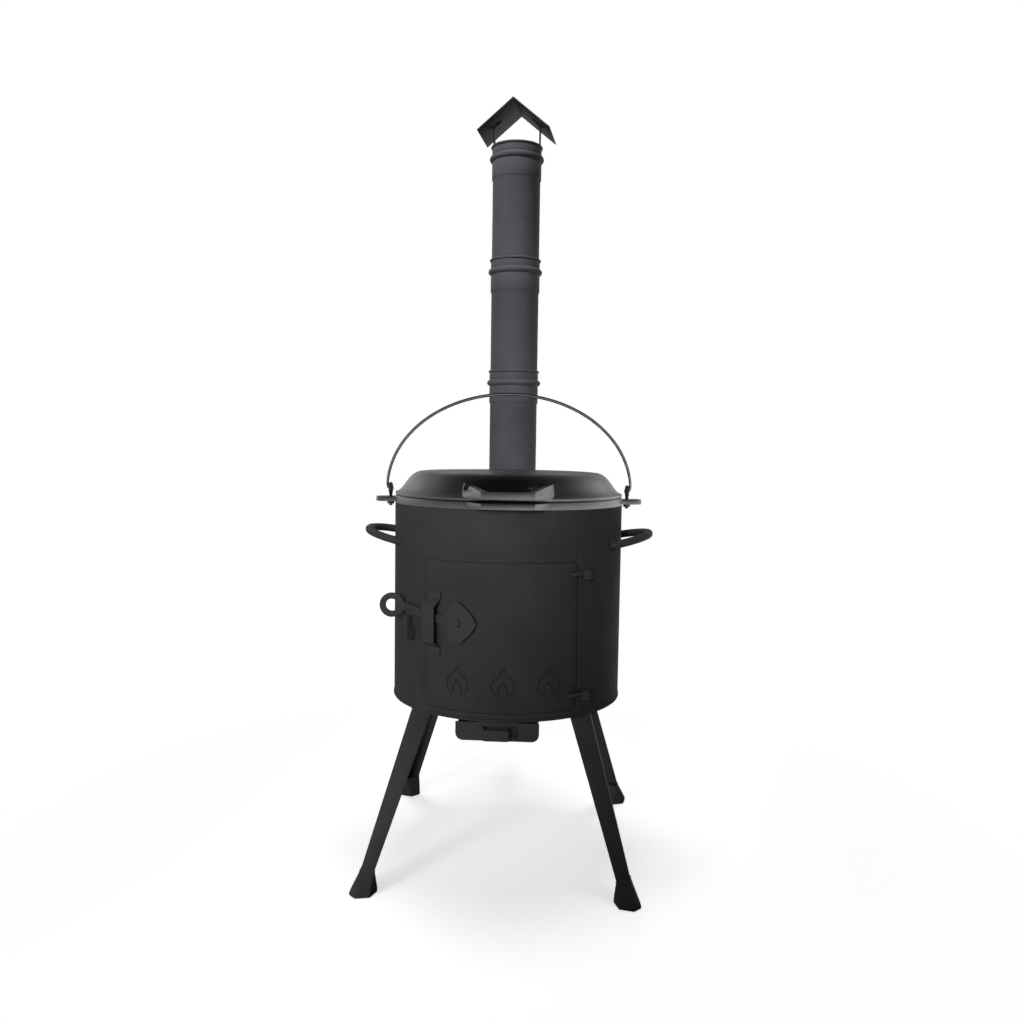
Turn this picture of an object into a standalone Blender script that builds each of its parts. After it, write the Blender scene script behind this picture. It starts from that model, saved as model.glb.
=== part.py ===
"""Cauldron stove: a sheet-steel drum on four splayed legs, with a cast cauldron hung in its open
top, a latched fire door, an ash drawer and a stove-pipe chimney that stands behind the pot.

Metres, +Z up. The front looks along -Y. The origin is on the floor, under the middle of the
object's box. The drum's axis is the middle line of the stove, and every size is named below.
"""
import math

import bmesh
import bpy
from mathutils import Matrix, Vector

# Clearances
SEAT_GAP = 0.0003            # between two pieces that touch
PIN_PLAY = 0.0004            # around a pin or a bolt in its hole
CUT_OVERRUN = 0.010          # how far a cutter runs past what it cuts

# Drum and its plates
DRUM_RADIUS = 0.205
DRUM_WALL = 0.003
DRUM_HEIGHT = 0.341
FLOOR_TO_PLATE = 0.291       # from the floor to the underside of the bottom plate
PLATE_THICK = 0.004
PLATE_LIP = 0.001            # bottom plate beyond the drum's wall
ASH_SLOT_WIDTH = 0.096
ASH_SLOT_LENGTH = 0.200
POT_RING_WIDTH = 0.0155
POT_RING_THICK = 0.003
POT_RING_DROP = 0.004        # below the drum's top edge

# Fire grate
GRATE_WIDTH = 0.130
GRATE_LENGTH = 0.236
GRATE_THICK = 0.008
GRATE_BAR = 0.009
GRATE_SLOTS = 6
GRATE_BORDER = 0.018

# Fire door, given along the drum's outside
DOOR_ARC = 0.274             # arc length from edge to edge
DOOR_HEIGHT = 0.245
DOOR_ABOVE_PLATE = 0.010
DOOR_CORNER = 0.012
DOOR_KERF = 0.0009           # gap all round the door
DOOR_HINGE_KERF = 0.0030     # gap on the hinge side
FRAME_LIP = 0.008            # door frame beyond the opening, inwards and outwards
FRAME_THICK = 0.003

# Hinges
HINGE_OUT = 0.009            # pin axis off the drum's outside
HINGE_PAST_DOOR = 0.0115     # pin axis past the door's edge, along the arc
HINGE_EYE_RADIUS = 0.0068
HINGE_EYE_THICK = 0.006
HINGE_PIN_RADIUS = 0.003
HINGE_HEAD_RADIUS = 0.006
HINGE_HEAD_THICK = 0.003
HINGE_LEAF = 0.018           # door leaf, from the pin axis along the arc
HINGE_FROM_EDGE = 0.022      # hinge middle from the door's top or bottom edge

# Latch, on the door and beside it
LATCH_ARC = -0.0658          # bolt, along the arc from the stove's middle line
LATCH_ABOVE_DOOR = 0.1459    # bolt above the door's bottom edge
LATCH_STANDOFF = 0.0045      # lever's inner face off the door
LEVER_THICK = 0.004
LEVER_WIDTH = 0.015
LEVER_SLOPE_DEG = 6.5
LEVER_BEND_ARC = 0.1165      # from the bolt to the outward bend
LEVER_TAIL = 0.0263          # from the bend to the ring's centre
LEVER_HEAD_LENGTH = 0.032
LEVER_HEAD_HEIGHT = 0.0345
LEVER_HEAD_POWER = 1.3       # 1 is a sharp diamond, 2 an ellipse
LEVER_TIP_SHARE = 0.995      # where the lever's blunt tip ends
RING_RADIUS = 0.0208
RING_HOLE_RADIUS = 0.0105
BOLT_RADIUS = 0.004
BOLT_HEAD_RADIUS = 0.0058
BOLT_DOME_RADIUS = 0.0041
BOLT_HEAD_THICK = 0.004
BOLT_COLLAR_RADIUS = 0.009
BOLT_NUT_RADIUS = 0.0075
BOLT_NUT_THICK = 0.006
BOLT_END = 0.003             # bolt past its nut
GUIDE_ARC = -0.0468          # guide strap's middle from the bolt
GUIDE_WIDTH = 0.024
GUIDE_THICK = 0.003
GUIDE_STANDOFF = 0.0165
GUIDE_FOOT = 0.0135
GUIDE_RISER = 0.010          # height of each slanted riser
GUIDE_BRIDGE = 0.058         # between the two risers
GUIDE_BELOW_BOLT = 0.057     # guide's lower end below the bolt
KEEPER_ARC = -0.0985         # keeper from the bolt
KEEPER_THICK = 0.005
KEEPER_PLAY = 0.002          # between the lever and the keeper's finger
KEEPER_FINGER = 0.008
KEEPER_NOTCH = 0.022
KEEPER_BELOW_NOTCH = 0.0205
KEEPER_BELOW_LEVER = 0.0015  # finger's tip under the lever, door free to open
KEEPER_CHAMFER = 0.006

# Side handles
HANDLE_CHORD = 0.170
HANDLE_REACH = 0.0570        # outermost point off the drum's side
HANDLE_BAR_RADIUS = 0.007
HANDLE_RISE = 0.015
HANDLE_BELOW_RIM = 0.0655

# Legs and feet
LEG_TOP_X = 0.1515           # angle's corner at the top, from the drum's axis
LEG_TOP_Y = 0.1350
LEG_FOOT_X = 0.2215          # angle's corner at its lower end, from the drum's axis
LEG_FOOT_Y = 0.2185
LEG_TOP_FLANGE = 0.0355
LEG_FOOT_FLANGE = 0.0235
LEG_THICK = 0.003
FOOT_EDGE = 0.005            # upright edge of the foot, on the floor
FOOT_HEIGHT = 0.038          # flat top of the foot, where the leg stands
FOOT_TOP_MARGIN = 0.0008     # flat top beyond the leg
FOOT_CENTRE = 0.306          # from the drum's axis
FOOT_TOE = 0.023             # centre to toe
FOOT_TOE_HALF = 0.009
FOOT_WIDE_HALF = 0.0225
FOOT_WIDE_AT = 0.002         # widest place, centre towards the toe
FOOT_HEEL = 0.021
FOOT_HEEL_HALF = 0.011

# Ash drawer
TRAY_WIDTH = 0.122
TRAY_LENGTH = 0.312
TRAY_HEIGHT = 0.024
TRAY_SHEET = 0.0018
TRAY_BELOW_PLATE = 0.003
DRAWER_FRONT_WIDTH = 0.137
DRAWER_FRONT_HEIGHT = 0.031
DRAWER_FRONT_THICK = 0.003
DRAWER_FRONT_CORNER = 0.012
DRAWER_FRONT_Y = 0.203       # outer face in front of the drum's axis
DRAWER_FRONT_DROP = 0.001    # front's top edge under the bottom plate
STRAP_WIDTH = 0.062
STRAP_HEIGHT = 0.018
STRAP_THICK = 0.003
STRAP_OUT = 0.022
STRAP_FOOT = 0.012
STRAP_CORNER = 0.008
RAIL_THICK = 0.0025
RAIL_LEDGE = 0.012
RAIL_SIDE_PLAY = 0.001

# Cauldron
POT_TURN_DEG = 3.6           # the pot stands turned in the drum by this much
POT_FLANGE_THICK = 0.014
POT_WALL = 0.005
POT_SIDE_PLAY = 0.0025       # between the bowl and the pot ring
POT_STRAIGHT = 0.035         # upright part of the bowl
POT_ROUND = 0.147            # height of the bowl's round bottom
POT_EAR_REACH = 0.0365       # ear's tip beyond the flange
POT_EAR_HALF = 0.019
POT_EAR_THICK = 0.0085
POT_EAR_UP = 0.0005          # ear's underside above the flange's underside
POT_TAB_REACH = 0.027
POT_TAB_ROOT_HALF = 0.068
POT_TAB_TIP_HALF = 0.0425
POT_TAB_THICK = 0.009
POT_TAB_UP = 0.0025

# Lid
LID_HEIGHT = 0.0422
LID_RIM_INSET = 0.0005       # lid's rim inside the pot's flange
LID_RIM_THICK = 0.0045
LID_RIM_WIDTH = 0.014
LID_WALL = 0.0046
LID_FLAT_INSET = 0.0500      # flat top inside the lid's rim
LID_FLARE_INSET = 0.0190     # where the flare leaves the rim's slope
LID_FLARE_RISE = 0.0050
LID_SHOULDER_INSET = 0.0200  # where the shoulder turns over
LID_GRIP_OUT = 0.0325        # grip's outer face beyond the lid's rim
LID_GRIP_BAR = 0.009
LID_GRIP_THICK = 0.012
LID_GRIP_UP = 0.0042         # grip's underside above the lid's seat
LID_GRIP_TIP_HALF = 0.0425
LID_GRIP_ROOT_HALF = 0.076
LID_GRIP_EAR = 0.0277        # ear's top above the lid's seat
LID_GRIP_EAR_IN = 0.0290     # ear's foot at its top, inside the lid's rim
LID_GRIP_EAR_FOOT = 0.007    # ear's foot at its bottom, inside the lid's rim

# Bail and its eye bolts
EYE_IN_EAR = 0.0265          # eye bolt in from the ear's tip
EYE_RADIUS = 0.0080          # ring's middle line
EYE_WIRE_RADIUS = 0.0033
EYE_UP = 0.0145              # ring's centre above the ear's top
EYE_SHANK_RADIUS = 0.003
EYE_NUT_RADIUS = 0.0065
EYE_NUT_THICK = 0.005
EYE_SHANK_END = 0.003
BAIL_WIRE_RADIUS = 0.003
BAIL_HEIGHT = 0.173          # wire's middle line above its pivots
BAIL_OUTBOARD = 0.0070       # wire's middle line outside the eye bolts
BAIL_END_IN = 0.0055         # wire's end inside the eye bolts

# Flue and chimney
PIPE_OFF_DRUM = 0.045        # between the drum's side and the pipe
CHIMNEY_X = -0.0135          # chimney axis beside the stove's middle line
PIPE_RADIUS = 0.050
PIPE_WALL = 0.0014
SOCKET_WALL = 0.0015
SECTION_LENGTH = 0.300
SOCKET_DEPTH = 0.068
BEAD_BELOW_LIP = 0.026
BEAD_RADIUS = 0.0562
BEAD_HALF = 0.006
LIP_RADIUS = 0.0530
LIP_HEIGHT = 0.005
SOCKET_SLOPE = 0.003
FLUE_HALF_WIDTH = 0.058
FLUE_BEHIND_PIPE = 0.054     # box's back behind the chimney axis
FLUE_HEIGHT = 0.120
FLUE_SHEET = 0.003
FLUE_PORT_INSET = 0.012      # port inside the box's outline
FLUE_BELOW_RIM = 0.0416      # box's top below the drum's rim
COLLAR_FLANGE = 0.010
COLLAR_FLANGE_THICK = 0.003
COLLAR_RISE = 0.056
COLLAR_LEDGE = 0.004

# Rain cap
CAP_LENGTH = 0.110
CAP_HALF_SPAN = 0.0755
CAP_RISE = 0.0625
CAP_SHEET = 0.002
CAP_ABOVE_LIP = 0.022        # roof's low edges above the chimney's lip
CAP_TURN_DEG = -6.0
CAP_STRUT_WIDTH = 0.015
CAP_STRUT_THICK = 0.002
CAP_STRUT_DEPTH = 0.034      # strut inside the pipe
CAP_STRUT_TAB = 0.020

# Facets
DRUM_STEPS = 72
POT_STEPS = 52
PIPE_STEPS = 32
SMALL_STEPS = 20
CORNER_STEPS = 4
SHOULDER_STEPS = 10
HANDLE_STEPS = 16
HANDLE_ROUND = 4
BAIL_ROUND = 2
DOOR_STEPS = 16
BAIL_STEPS = 26
SHARP_ANGLE_DEG = 35.0
WELD = 0.00001

# Heights and places worked out from the sizes above
PLATE_TOP = FLOOR_TO_PLATE + PLATE_THICK
DRUM_BASE = PLATE_TOP + SEAT_GAP
DRUM_TOP = DRUM_BASE + DRUM_HEIGHT
DRUM_INNER = DRUM_RADIUS - DRUM_WALL
DOOR_LOW = DRUM_BASE + DOOR_ABOVE_PLATE
DOOR_TOP = DOOR_LOW + DOOR_HEIGHT
DOOR_HALF_ANGLE = DOOR_ARC / (2 * DRUM_RADIUS)
HINGE_RADIUS = DRUM_RADIUS + HINGE_OUT
HINGE_ANGLE = DOOR_HALF_ANGLE + HINGE_PAST_DOOR / DRUM_RADIUS
HINGE_HEIGHTS = {"lower": DOOR_LOW + HINGE_FROM_EDGE, "upper": DOOR_TOP - HINGE_FROM_EDGE}
LATCH_ANGLE = LATCH_ARC / DRUM_RADIUS
LATCH_Z = DOOR_LOW + LATCH_ABOVE_DOOR
LEVER_INNER = DRUM_RADIUS + LATCH_STANDOFF
LEVER_OUTER = LEVER_INNER + LEVER_THICK
GUIDE_ANGLE = LATCH_ANGLE + GUIDE_ARC / DRUM_RADIUS
KEEPER_ANGLE = LATCH_ANGLE + KEEPER_ARC / DRUM_RADIUS
POT_SEAT = DRUM_TOP + SEAT_GAP
POT_TOP = POT_SEAT + POT_FLANGE_THICK
BOWL_RADIUS = DRUM_INNER - POT_RING_WIDTH - POT_SIDE_PLAY
LID_SEAT = POT_TOP + SEAT_GAP
LID_RADIUS = DRUM_RADIUS - LID_RIM_INSET
EAR_TIP = DRUM_RADIUS + POT_EAR_REACH
EAR_TOP = POT_SEAT + POT_EAR_UP + POT_EAR_THICK
EYE_X = EAR_TIP - EYE_IN_EAR
EYE_Z = EAR_TOP + EYE_UP
BAIL_HALF = EYE_X + BAIL_OUTBOARD
SOCKET_INNER = PIPE_RADIUS + SEAT_GAP
SOCKET_OUTER = SOCKET_INNER + SOCKET_WALL
SECTION_PITCH = SECTION_LENGTH - SOCKET_DEPTH
CHIMNEY_BEHIND = DRUM_RADIUS + PIPE_OFF_DRUM + PIPE_RADIUS
FLUE_TOP = DRUM_TOP - FLUE_BELOW_RIM
COLLAR_LEDGE_Z = FLUE_TOP + SEAT_GAP + COLLAR_LEDGE
FIRST_LIP = COLLAR_LEDGE_Z + SEAT_GAP + SECTION_LENGTH
CAP_LOW = FIRST_LIP + 2 * (SECTION_PITCH + SEAT_GAP) + CAP_ABOVE_LIP
CAP_TURN = math.radians(CAP_TURN_DEG)
FRONT_REACH = (FOOT_CENTRE + FOOT_TOE + FOOT_TOE_HALF) * math.sqrt(0.5)
REAR_REACH = (CHIMNEY_BEHIND + CAP_LENGTH / 2 * math.cos(CAP_TURN)
              + CAP_HALF_SPAN * abs(math.sin(CAP_TURN)))
STOVE_Y = (FRONT_REACH - REAR_REACH) / 2


# Scene, collections and materials
def clear_scene():
    """Remove every object that the file starts with."""
    for obj in list(bpy.data.objects):
        bpy.data.objects.remove(obj, do_unlink=True)


def new_collection(name):
    """Return a new collection linked to the scene."""
    collection = bpy.data.collections.new(name)
    bpy.context.scene.collection.children.link(collection)
    return collection


clear_scene()
PARTS = new_collection("cauldron_stove")
CUTTERS = new_collection("cutters")


def finish(name, colour, roughness, metallic):
    """Return a Principled material of one colour."""
    material = bpy.data.materials.new(name)
    material.use_nodes = True
    shader = material.node_tree.nodes["Principled BSDF"]
    shader.inputs["Base Color"].default_value = (*colour, 1.0)
    shader.inputs["Roughness"].default_value = roughness
    shader.inputs["Metallic"].default_value = metallic
    return material


HEAT_PAINT = finish("heat_paint", (0.022, 0.023, 0.024), 0.62, 0.0)
CAST = finish("cast_aluminium", (0.062, 0.066, 0.070), 0.38, 0.6)
PIPE_STEEL = finish("pipe_steel", (0.040, 0.043, 0.048), 0.45, 0.4)
ZINC = finish("zinc_steel", (0.150, 0.150, 0.145), 0.35, 0.9)
GRATE_IRON = finish("grate_iron", (0.030, 0.028, 0.027), 0.80, 0.2)
ASH_SHEET = finish("ash_sheet", (0.030, 0.031, 0.032), 0.60, 0.2)


# Building blocks
def add_object(name, mesh, material):
    """Put a mesh in the parts' collection under its node's name, shaded smooth."""
    mesh.shade_smooth()
    mesh.set_sharp_from_angle(angle=math.radians(SHARP_ANGLE_DEG))
    mesh.materials.clear()
    mesh.materials.append(material)
    obj = bpy.data.objects.new(name, mesh)
    PARTS.objects.link(obj)
    return obj


def as_cutter(obj):
    """Move an object to the cutters' collection and keep it out of the model."""
    PARTS.objects.unlink(obj)
    CUTTERS.objects.link(obj)
    obj.hide_render = True
    obj.display_type = 'WIRE'
    return obj


def boolean(obj, tool, operation):
    """Add a live Boolean modifier; its tool becomes a cutter."""
    modifier = obj.modifiers.new(tool.name, 'BOOLEAN')
    modifier.operation = operation
    modifier.solver = 'EXACT'
    modifier.object = tool
    if tool.name in PARTS.objects:
        as_cutter(tool)
    return obj


def cut(obj, *tools):
    """Take the tools out of the object."""
    for tool in tools:
        boolean(obj, tool, 'DIFFERENCE')
    return obj


def fuse(obj, *tools):
    """Add the tools to the object as one body."""
    for tool in tools:
        boolean(obj, tool, 'UNION')
    return obj


def place(obj, matrix):
    """Move a piece. A mirroring matrix goes into its mesh, any other into its placement."""
    if matrix.determinant() > 0:
        obj.matrix_basis = matrix @ obj.matrix_basis
        return obj
    obj.data.transform(matrix @ obj.matrix_basis)
    obj.data.flip_normals()
    obj.matrix_basis = Matrix.Identity(4)
    return obj


def turned(name, outline, steps, material):
    """Turn an outline of (radius, height) about Z.

    The outline runs down its outer side. It is closed unless it starts and ends on the axis.
    """
    mesh = bpy.data.meshes.new(name)
    points = [(radius, 0.0, height) for radius, height in outline]
    edges = [(i, i + 1) for i in range(len(points) - 1)]
    if outline[0][0] > 0:
        edges.append((len(points) - 1, 0))
    mesh.from_pydata(points, edges, [])
    obj = add_object(name, mesh, material)
    screw = obj.modifiers.new("turn", 'SCREW')
    screw.axis = 'Z'
    screw.steps = steps
    screw.render_steps = steps
    screw.use_merge_vertices = True
    screw.merge_threshold = WELD
    screw.use_smooth_shade = True
    return obj


def mesh_of(curve_object):
    """Return a curve object's closed mesh, with its caps welded, and remove the curve."""
    bpy.context.view_layer.update()
    depsgraph = bpy.context.evaluated_depsgraph_get()
    mesh = bpy.data.meshes.new_from_object(curve_object.evaluated_get(depsgraph))
    bpy.data.objects.remove(curve_object, do_unlink=True)
    shape = bmesh.new()
    shape.from_mesh(mesh)
    bmesh.ops.remove_doubles(shape, verts=shape.verts, dist=WELD)
    bmesh.ops.recalc_face_normals(shape, faces=shape.faces)
    shape.to_mesh(mesh)
    shape.free()
    return mesh


def add_spline(curve, points, cyclic):
    """Add a straight-sided spline to a curve."""
    spline = curve.splines.new('POLY')
    spline.points.add(len(points) - 1)
    for target, point in zip(spline.points, points):
        x, y, z = (*point, 0.0)[:3]
        target.co = (x, y, z, 1.0)
    spline.use_cyclic_u = cyclic


def flat_plate(name, outline, thickness, material, holes=()):
    """Return a plate of a flat outline in the XY plane, centred on its thickness."""
    curve = bpy.data.curves.new(name, 'CURVE')
    curve.dimensions = '2D'
    curve.fill_mode = 'BOTH'
    curve.extrude = thickness / 2
    for loop in (outline, *holes):
        add_spline(curve, loop, True)
    temporary = bpy.data.objects.new(name + "_outline", curve)
    PARTS.objects.link(temporary)
    return add_object(name, mesh_of(temporary), material)


def tube(name, path, radius, resolution, material):
    """Return a round bar along a path, with filled ends."""
    curve = bpy.data.curves.new(name, 'CURVE')
    curve.dimensions = '3D'
    curve.bevel_depth = radius
    curve.bevel_resolution = resolution
    curve.use_fill_caps = True
    add_spline(curve, path, False)
    temporary = bpy.data.objects.new(name + "_path", curve)
    PARTS.objects.link(temporary)
    return add_object(name, mesh_of(temporary), material)


def box(name, low, high, material):
    """Return a box between two corners."""
    shape = bmesh.new()
    bmesh.ops.create_cube(shape, size=1.0)
    low, high = Vector(low), Vector(high)
    size = Matrix.Diagonal((*(high - low), 1.0))
    bmesh.ops.transform(shape, matrix=Matrix.Translation((low + high) / 2) @ size, verts=shape.verts)
    mesh = bpy.data.meshes.new(name)
    shape.to_mesh(mesh)
    shape.free()
    return add_object(name, mesh, material)


def hull(name, points, material):
    """Return the smallest convex block that holds the points."""
    shape = bmesh.new()
    verts = [shape.verts.new(point) for point in points]
    result = bmesh.ops.convex_hull(shape, input=verts)
    inside = [v for v in result["geom_interior"] if isinstance(v, bmesh.types.BMVert)]
    bmesh.ops.delete(shape, geom=inside, context='VERTS')
    bmesh.ops.recalc_face_normals(shape, faces=shape.faces)
    mesh = bpy.data.meshes.new(name)
    shape.to_mesh(mesh)
    shape.free()
    return add_object(name, mesh, material)


def cylinder(name, radius, low, high, steps, material):
    """Return a round bar on the Z axis."""
    return turned(name, [(0.0, high), (radius, high), (radius, low), (0.0, low)], steps, material)


def loft(name, sections, material):
    """Join four-cornered sections into one closed body, with both ends filled."""
    shape = bmesh.new()
    rings = [[shape.verts.new(point) for point in section] for section in sections]
    for ring, following in zip(rings, rings[1:]):
        for i in range(4):
            j = (i + 1) % 4
            shape.faces.new((ring[i], ring[j], following[j], following[i]))
    shape.faces.new(rings[0])
    shape.faces.new(rings[-1])
    bmesh.ops.recalc_face_normals(shape, faces=shape.faces)
    mesh = bpy.data.meshes.new(name)
    shape.to_mesh(mesh)
    shape.free()
    return add_object(name, mesh, material)


# Outlines and paths
def on_drum(radius, angle, height):
    """Return a point round the drum; the angle is 0 at the front and grows to the right."""
    return Vector((radius * math.sin(angle), -radius * math.cos(angle), height))


def facing(angle, distance, height):
    """Return the frame whose XY plane is (outward, up) at an angle of the drum.

    Its X looks outward, its Y up and its Z along the drum's side.
    """
    outward = on_drum(1.0, angle, 0.0)
    up = Vector((0.0, 0.0, 1.0))
    frame = Matrix((outward, up, outward.cross(up))).transposed().to_4x4()
    return Matrix.Translation(on_drum(distance, angle, height)) @ frame


def circle(radius, steps, centre=(0.0, 0.0)):
    """Return the points of a circle."""
    turn = 2 * math.pi / steps
    return [(centre[0] + radius * math.cos(i * turn), centre[1] + radius * math.sin(i * turn))
            for i in range(steps)]


def fillet(path, radius, closed=False):
    """Return the path with each of its corners rounded."""
    points = [Vector(p) for p in path]
    count = len(points)
    result = []
    for i, corner in enumerate(points):
        if not closed and i in (0, count - 1):
            result.append(corner)
            continue
        back = (points[i - 1] - corner).normalized()
        ahead = (points[(i + 1) % count] - corner).normalized()
        half = back.angle(ahead) / 2
        centre = corner + (back + ahead).normalized() * (radius / math.sin(half))
        start = corner + back * (radius / math.tan(half)) - centre
        end = corner + ahead * (radius / math.tan(half)) - centre
        for step in range(CORNER_STEPS + 1):
            spoke = start.slerp(end, step / CORNER_STEPS) * radius
            result.append(centre + spoke)
    return result


def strip(path, thickness):
    """Return the outline of a bent strip, whose thickness is on the left of its path."""
    points = [Vector(p) for p in path]
    far_side = []
    for i, point in enumerate(points):
        before = (point - points[i - 1]).normalized() if i else None
        after = (points[i + 1] - point).normalized() if i + 1 < len(points) else None
        normals = [Vector((-d.y, d.x)) for d in (before, after) if d is not None]
        middle = sum(normals, Vector((0.0, 0.0))).normalized()
        far_side.append(point + middle * (thickness / middle.dot(normals[0])))
    return points + far_side[::-1]


def panel_columns(left, right, low, high, corner, radius):
    """Return (angle, low, high) columns of a round-cornered panel wrapped on the drum."""
    columns = []
    for step in range(CORNER_STEPS + 1):
        turn = step / CORNER_STEPS * math.pi / 2
        columns.append((left + corner * (1 - math.cos(turn)) / radius, corner * (1 - math.sin(turn))))
    inner_left = columns[-1][0]
    inner_right = right - corner / radius
    for step in range(1, DOOR_STEPS):
        columns.append((inner_left + (inner_right - inner_left) * step / DOOR_STEPS, 0.0))
    for angle, inset in columns[CORNER_STEPS::-1]:
        columns.append((right - (angle - left), inset))
    return [(angle, low + inset, high - inset) for angle, inset in columns]


def wrapped_panel(name, inner, outer, columns, material):
    """Return a plate wrapped on the drum between two radii."""
    sections = [(on_drum(inner, a, low), on_drum(outer, a, low),
                 on_drum(outer, a, high), on_drum(inner, a, high)) for a, low, high in columns]
    return loft(name, sections, material)


# Drum, plates and grate
def door_panel(name, grow, inner, outer, material, hinge_grow=0.0):
    """Return the door's outline wrapped on the drum, grown by a margin."""
    margin = grow / DRUM_RADIUS
    columns = panel_columns(-DOOR_HALF_ANGLE - margin,
                            DOOR_HALF_ANGLE + margin + hinge_grow / DRUM_RADIUS,
                            DOOR_LOW - grow, DOOR_TOP + grow, DOOR_CORNER + grow, DRUM_RADIUS)
    return wrapped_panel(name, inner, outer, columns, material)


def drum_block(name, radius):
    """Return a solid drum, the tool that seats other pieces on the wall."""
    return cylinder(name, radius, FLOOR_TO_PLATE, DRUM_TOP + CUT_OVERRUN, DRUM_STEPS, HEAT_PAINT)


def flue_port():
    """Return the tool for the way from the fire chamber to the flue box."""
    half = FLUE_HALF_WIDTH - FLUE_PORT_INSET
    low = FLUE_TOP - FLUE_HEIGHT + FLUE_PORT_INSET
    return box("flue_port_cut", (CHIMNEY_X - half, DRUM_INNER - CUT_OVERRUN * 2, low),
               (CHIMNEY_X + half, DRUM_RADIUS + CUT_OVERRUN, FLUE_TOP - FLUE_PORT_INSET), HEAT_PAINT)


def build_drum():
    """The rolled wall, with the door opening and the flue port cut out."""
    wall = turned("stove_body", [(DRUM_RADIUS, DRUM_TOP), (DRUM_RADIUS, DRUM_BASE),
                                 (DRUM_INNER, DRUM_BASE), (DRUM_INNER, DRUM_TOP)],
                  DRUM_STEPS, HEAT_PAINT)
    opening = door_panel("door_opening_cut", DOOR_KERF, DRUM_INNER - CUT_OVERRUN,
                         DRUM_RADIUS + CUT_OVERRUN, HEAT_PAINT, DOOR_HINGE_KERF - DOOR_KERF)
    return [cut(wall, opening, flue_port())]


def build_bottom_plate():
    """The round floor of the fire chamber, with a slot over the ash drawer."""
    half_width, half_length = ASH_SLOT_WIDTH / 2, ASH_SLOT_LENGTH / 2
    slot = [(-half_width, -half_length), (half_width, -half_length),
            (half_width, half_length), (-half_width, half_length)]
    plate = flat_plate("bottom_plate", circle(DRUM_RADIUS + PLATE_LIP, DRUM_STEPS), PLATE_THICK,
                       HEAT_PAINT, [slot])
    return [place(plate, Matrix.Translation((0.0, 0.0, PLATE_TOP - PLATE_THICK / 2)))]


def build_pot_ring():
    """The flat ring inside the rim that keeps the cauldron centred."""
    high = DRUM_TOP - POT_RING_DROP
    low = high - POT_RING_THICK
    outer = DRUM_INNER - SEAT_GAP
    inner = DRUM_INNER - POT_RING_WIDTH
    return [turned("pot_ring", [(outer, high), (outer, low), (inner, low), (inner, high)],
                   POT_STEPS, HEAT_PAINT)]


def build_door_frame():
    """The lip behind the opening that the door closes on."""
    outer = DRUM_INNER - SEAT_GAP
    inner = outer - FRAME_THICK
    frame = door_panel("door_frame", DOOR_KERF + FRAME_LIP, inner, outer, HEAT_PAINT)
    window = door_panel("door_frame_cut", -FRAME_LIP, inner - CUT_OVERRUN, outer + CUT_OVERRUN, HEAT_PAINT)
    return [cut(frame, window)]


def build_grate():
    """The loose cast grate over the ash slot."""
    half_width = GRATE_WIDTH / 2
    half_length = GRATE_LENGTH / 2
    outline = fillet([(-half_width, -half_length, 0.0), (half_width, -half_length, 0.0),
                      (half_width, half_length, 0.0), (-half_width, half_length, 0.0)],
                     GRATE_BORDER, True)
    pitch = (GRATE_WIDTH - 2 * GRATE_BORDER + GRATE_BAR) / GRATE_SLOTS
    slots = []
    for i in range(GRATE_SLOTS):
        left = GRATE_BORDER - half_width + i * pitch
        right = left + pitch - GRATE_BAR
        near = half_length - GRATE_BORDER
        slots.append([(left, -near), (right, -near), (right, near), (left, near)])
    grate = flat_plate("fire_grate", [(p.x, p.y) for p in outline], GRATE_THICK, GRATE_IRON, slots)
    height = PLATE_TOP + SEAT_GAP + GRATE_THICK / 2
    return [place(grate, Matrix.Translation((0.0, 0.0, height)))]


# Door and hinges
def build_door():
    """The curved door plate, flush with the drum's wall."""
    door = door_panel("door", 0.0, DRUM_INNER, DRUM_RADIUS, HEAT_PAINT)
    hole = cylinder("door_bolt_cut", BOLT_RADIUS + PIN_PLAY, DRUM_INNER - CUT_OVERRUN,
                    DRUM_RADIUS + CUT_OVERRUN, SMALL_STEPS, HEAT_PAINT)
    place(hole, Matrix.Translation((0.0, 0.0, LATCH_Z)) @ outward_from_axis(LATCH_ANGLE))
    return [cut(door, hole)]


def outward_from_axis(angle):
    """Return the turn that lays the Z axis outward from the drum's axis."""
    return Matrix.Rotation(angle, 4, 'Z') @ Matrix.Rotation(math.pi / 2, 4, 'X')


def hinge_eye(name, towards, length, low, reach_in):
    """Return a hinge eye with a leaf that runs from the pin axis along the drum."""
    axis = on_drum(HINGE_RADIUS, HINGE_ANGLE, 0.0)
    hub = flat_plate(name, circle(HINGE_EYE_RADIUS, SMALL_STEPS, axis.xy), HINGE_EYE_THICK, HEAT_PAINT)
    end_angle = HINGE_ANGLE + towards * length / DRUM_RADIUS
    start_angle = HINGE_ANGLE - towards * reach_in / DRUM_RADIUS
    columns = [(start_angle + (end_angle - start_angle) * i / CORNER_STEPS,
                -HINGE_EYE_THICK / 2, HINGE_EYE_THICK / 2) for i in range(CORNER_STEPS + 1)]
    leaf = wrapped_panel(name + "_leaf", DRUM_RADIUS + SEAT_GAP, DRUM_RADIUS + HINGE_EYE_RADIUS,
                         columns, HEAT_PAINT)
    bore = cylinder(name + "_bore", HINGE_PIN_RADIUS + PIN_PLAY, -HINGE_EYE_THICK, HINGE_EYE_THICK,
                    SMALL_STEPS, HEAT_PAINT)
    place(bore, Matrix.Translation((axis.x, axis.y, 0.0)))
    fuse(hub, leaf)
    cut(hub, bore)
    for piece in (hub, leaf, bore):
        place(piece, Matrix.Translation((0.0, 0.0, low + HINGE_EYE_THICK / 2)))
    return hub


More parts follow.
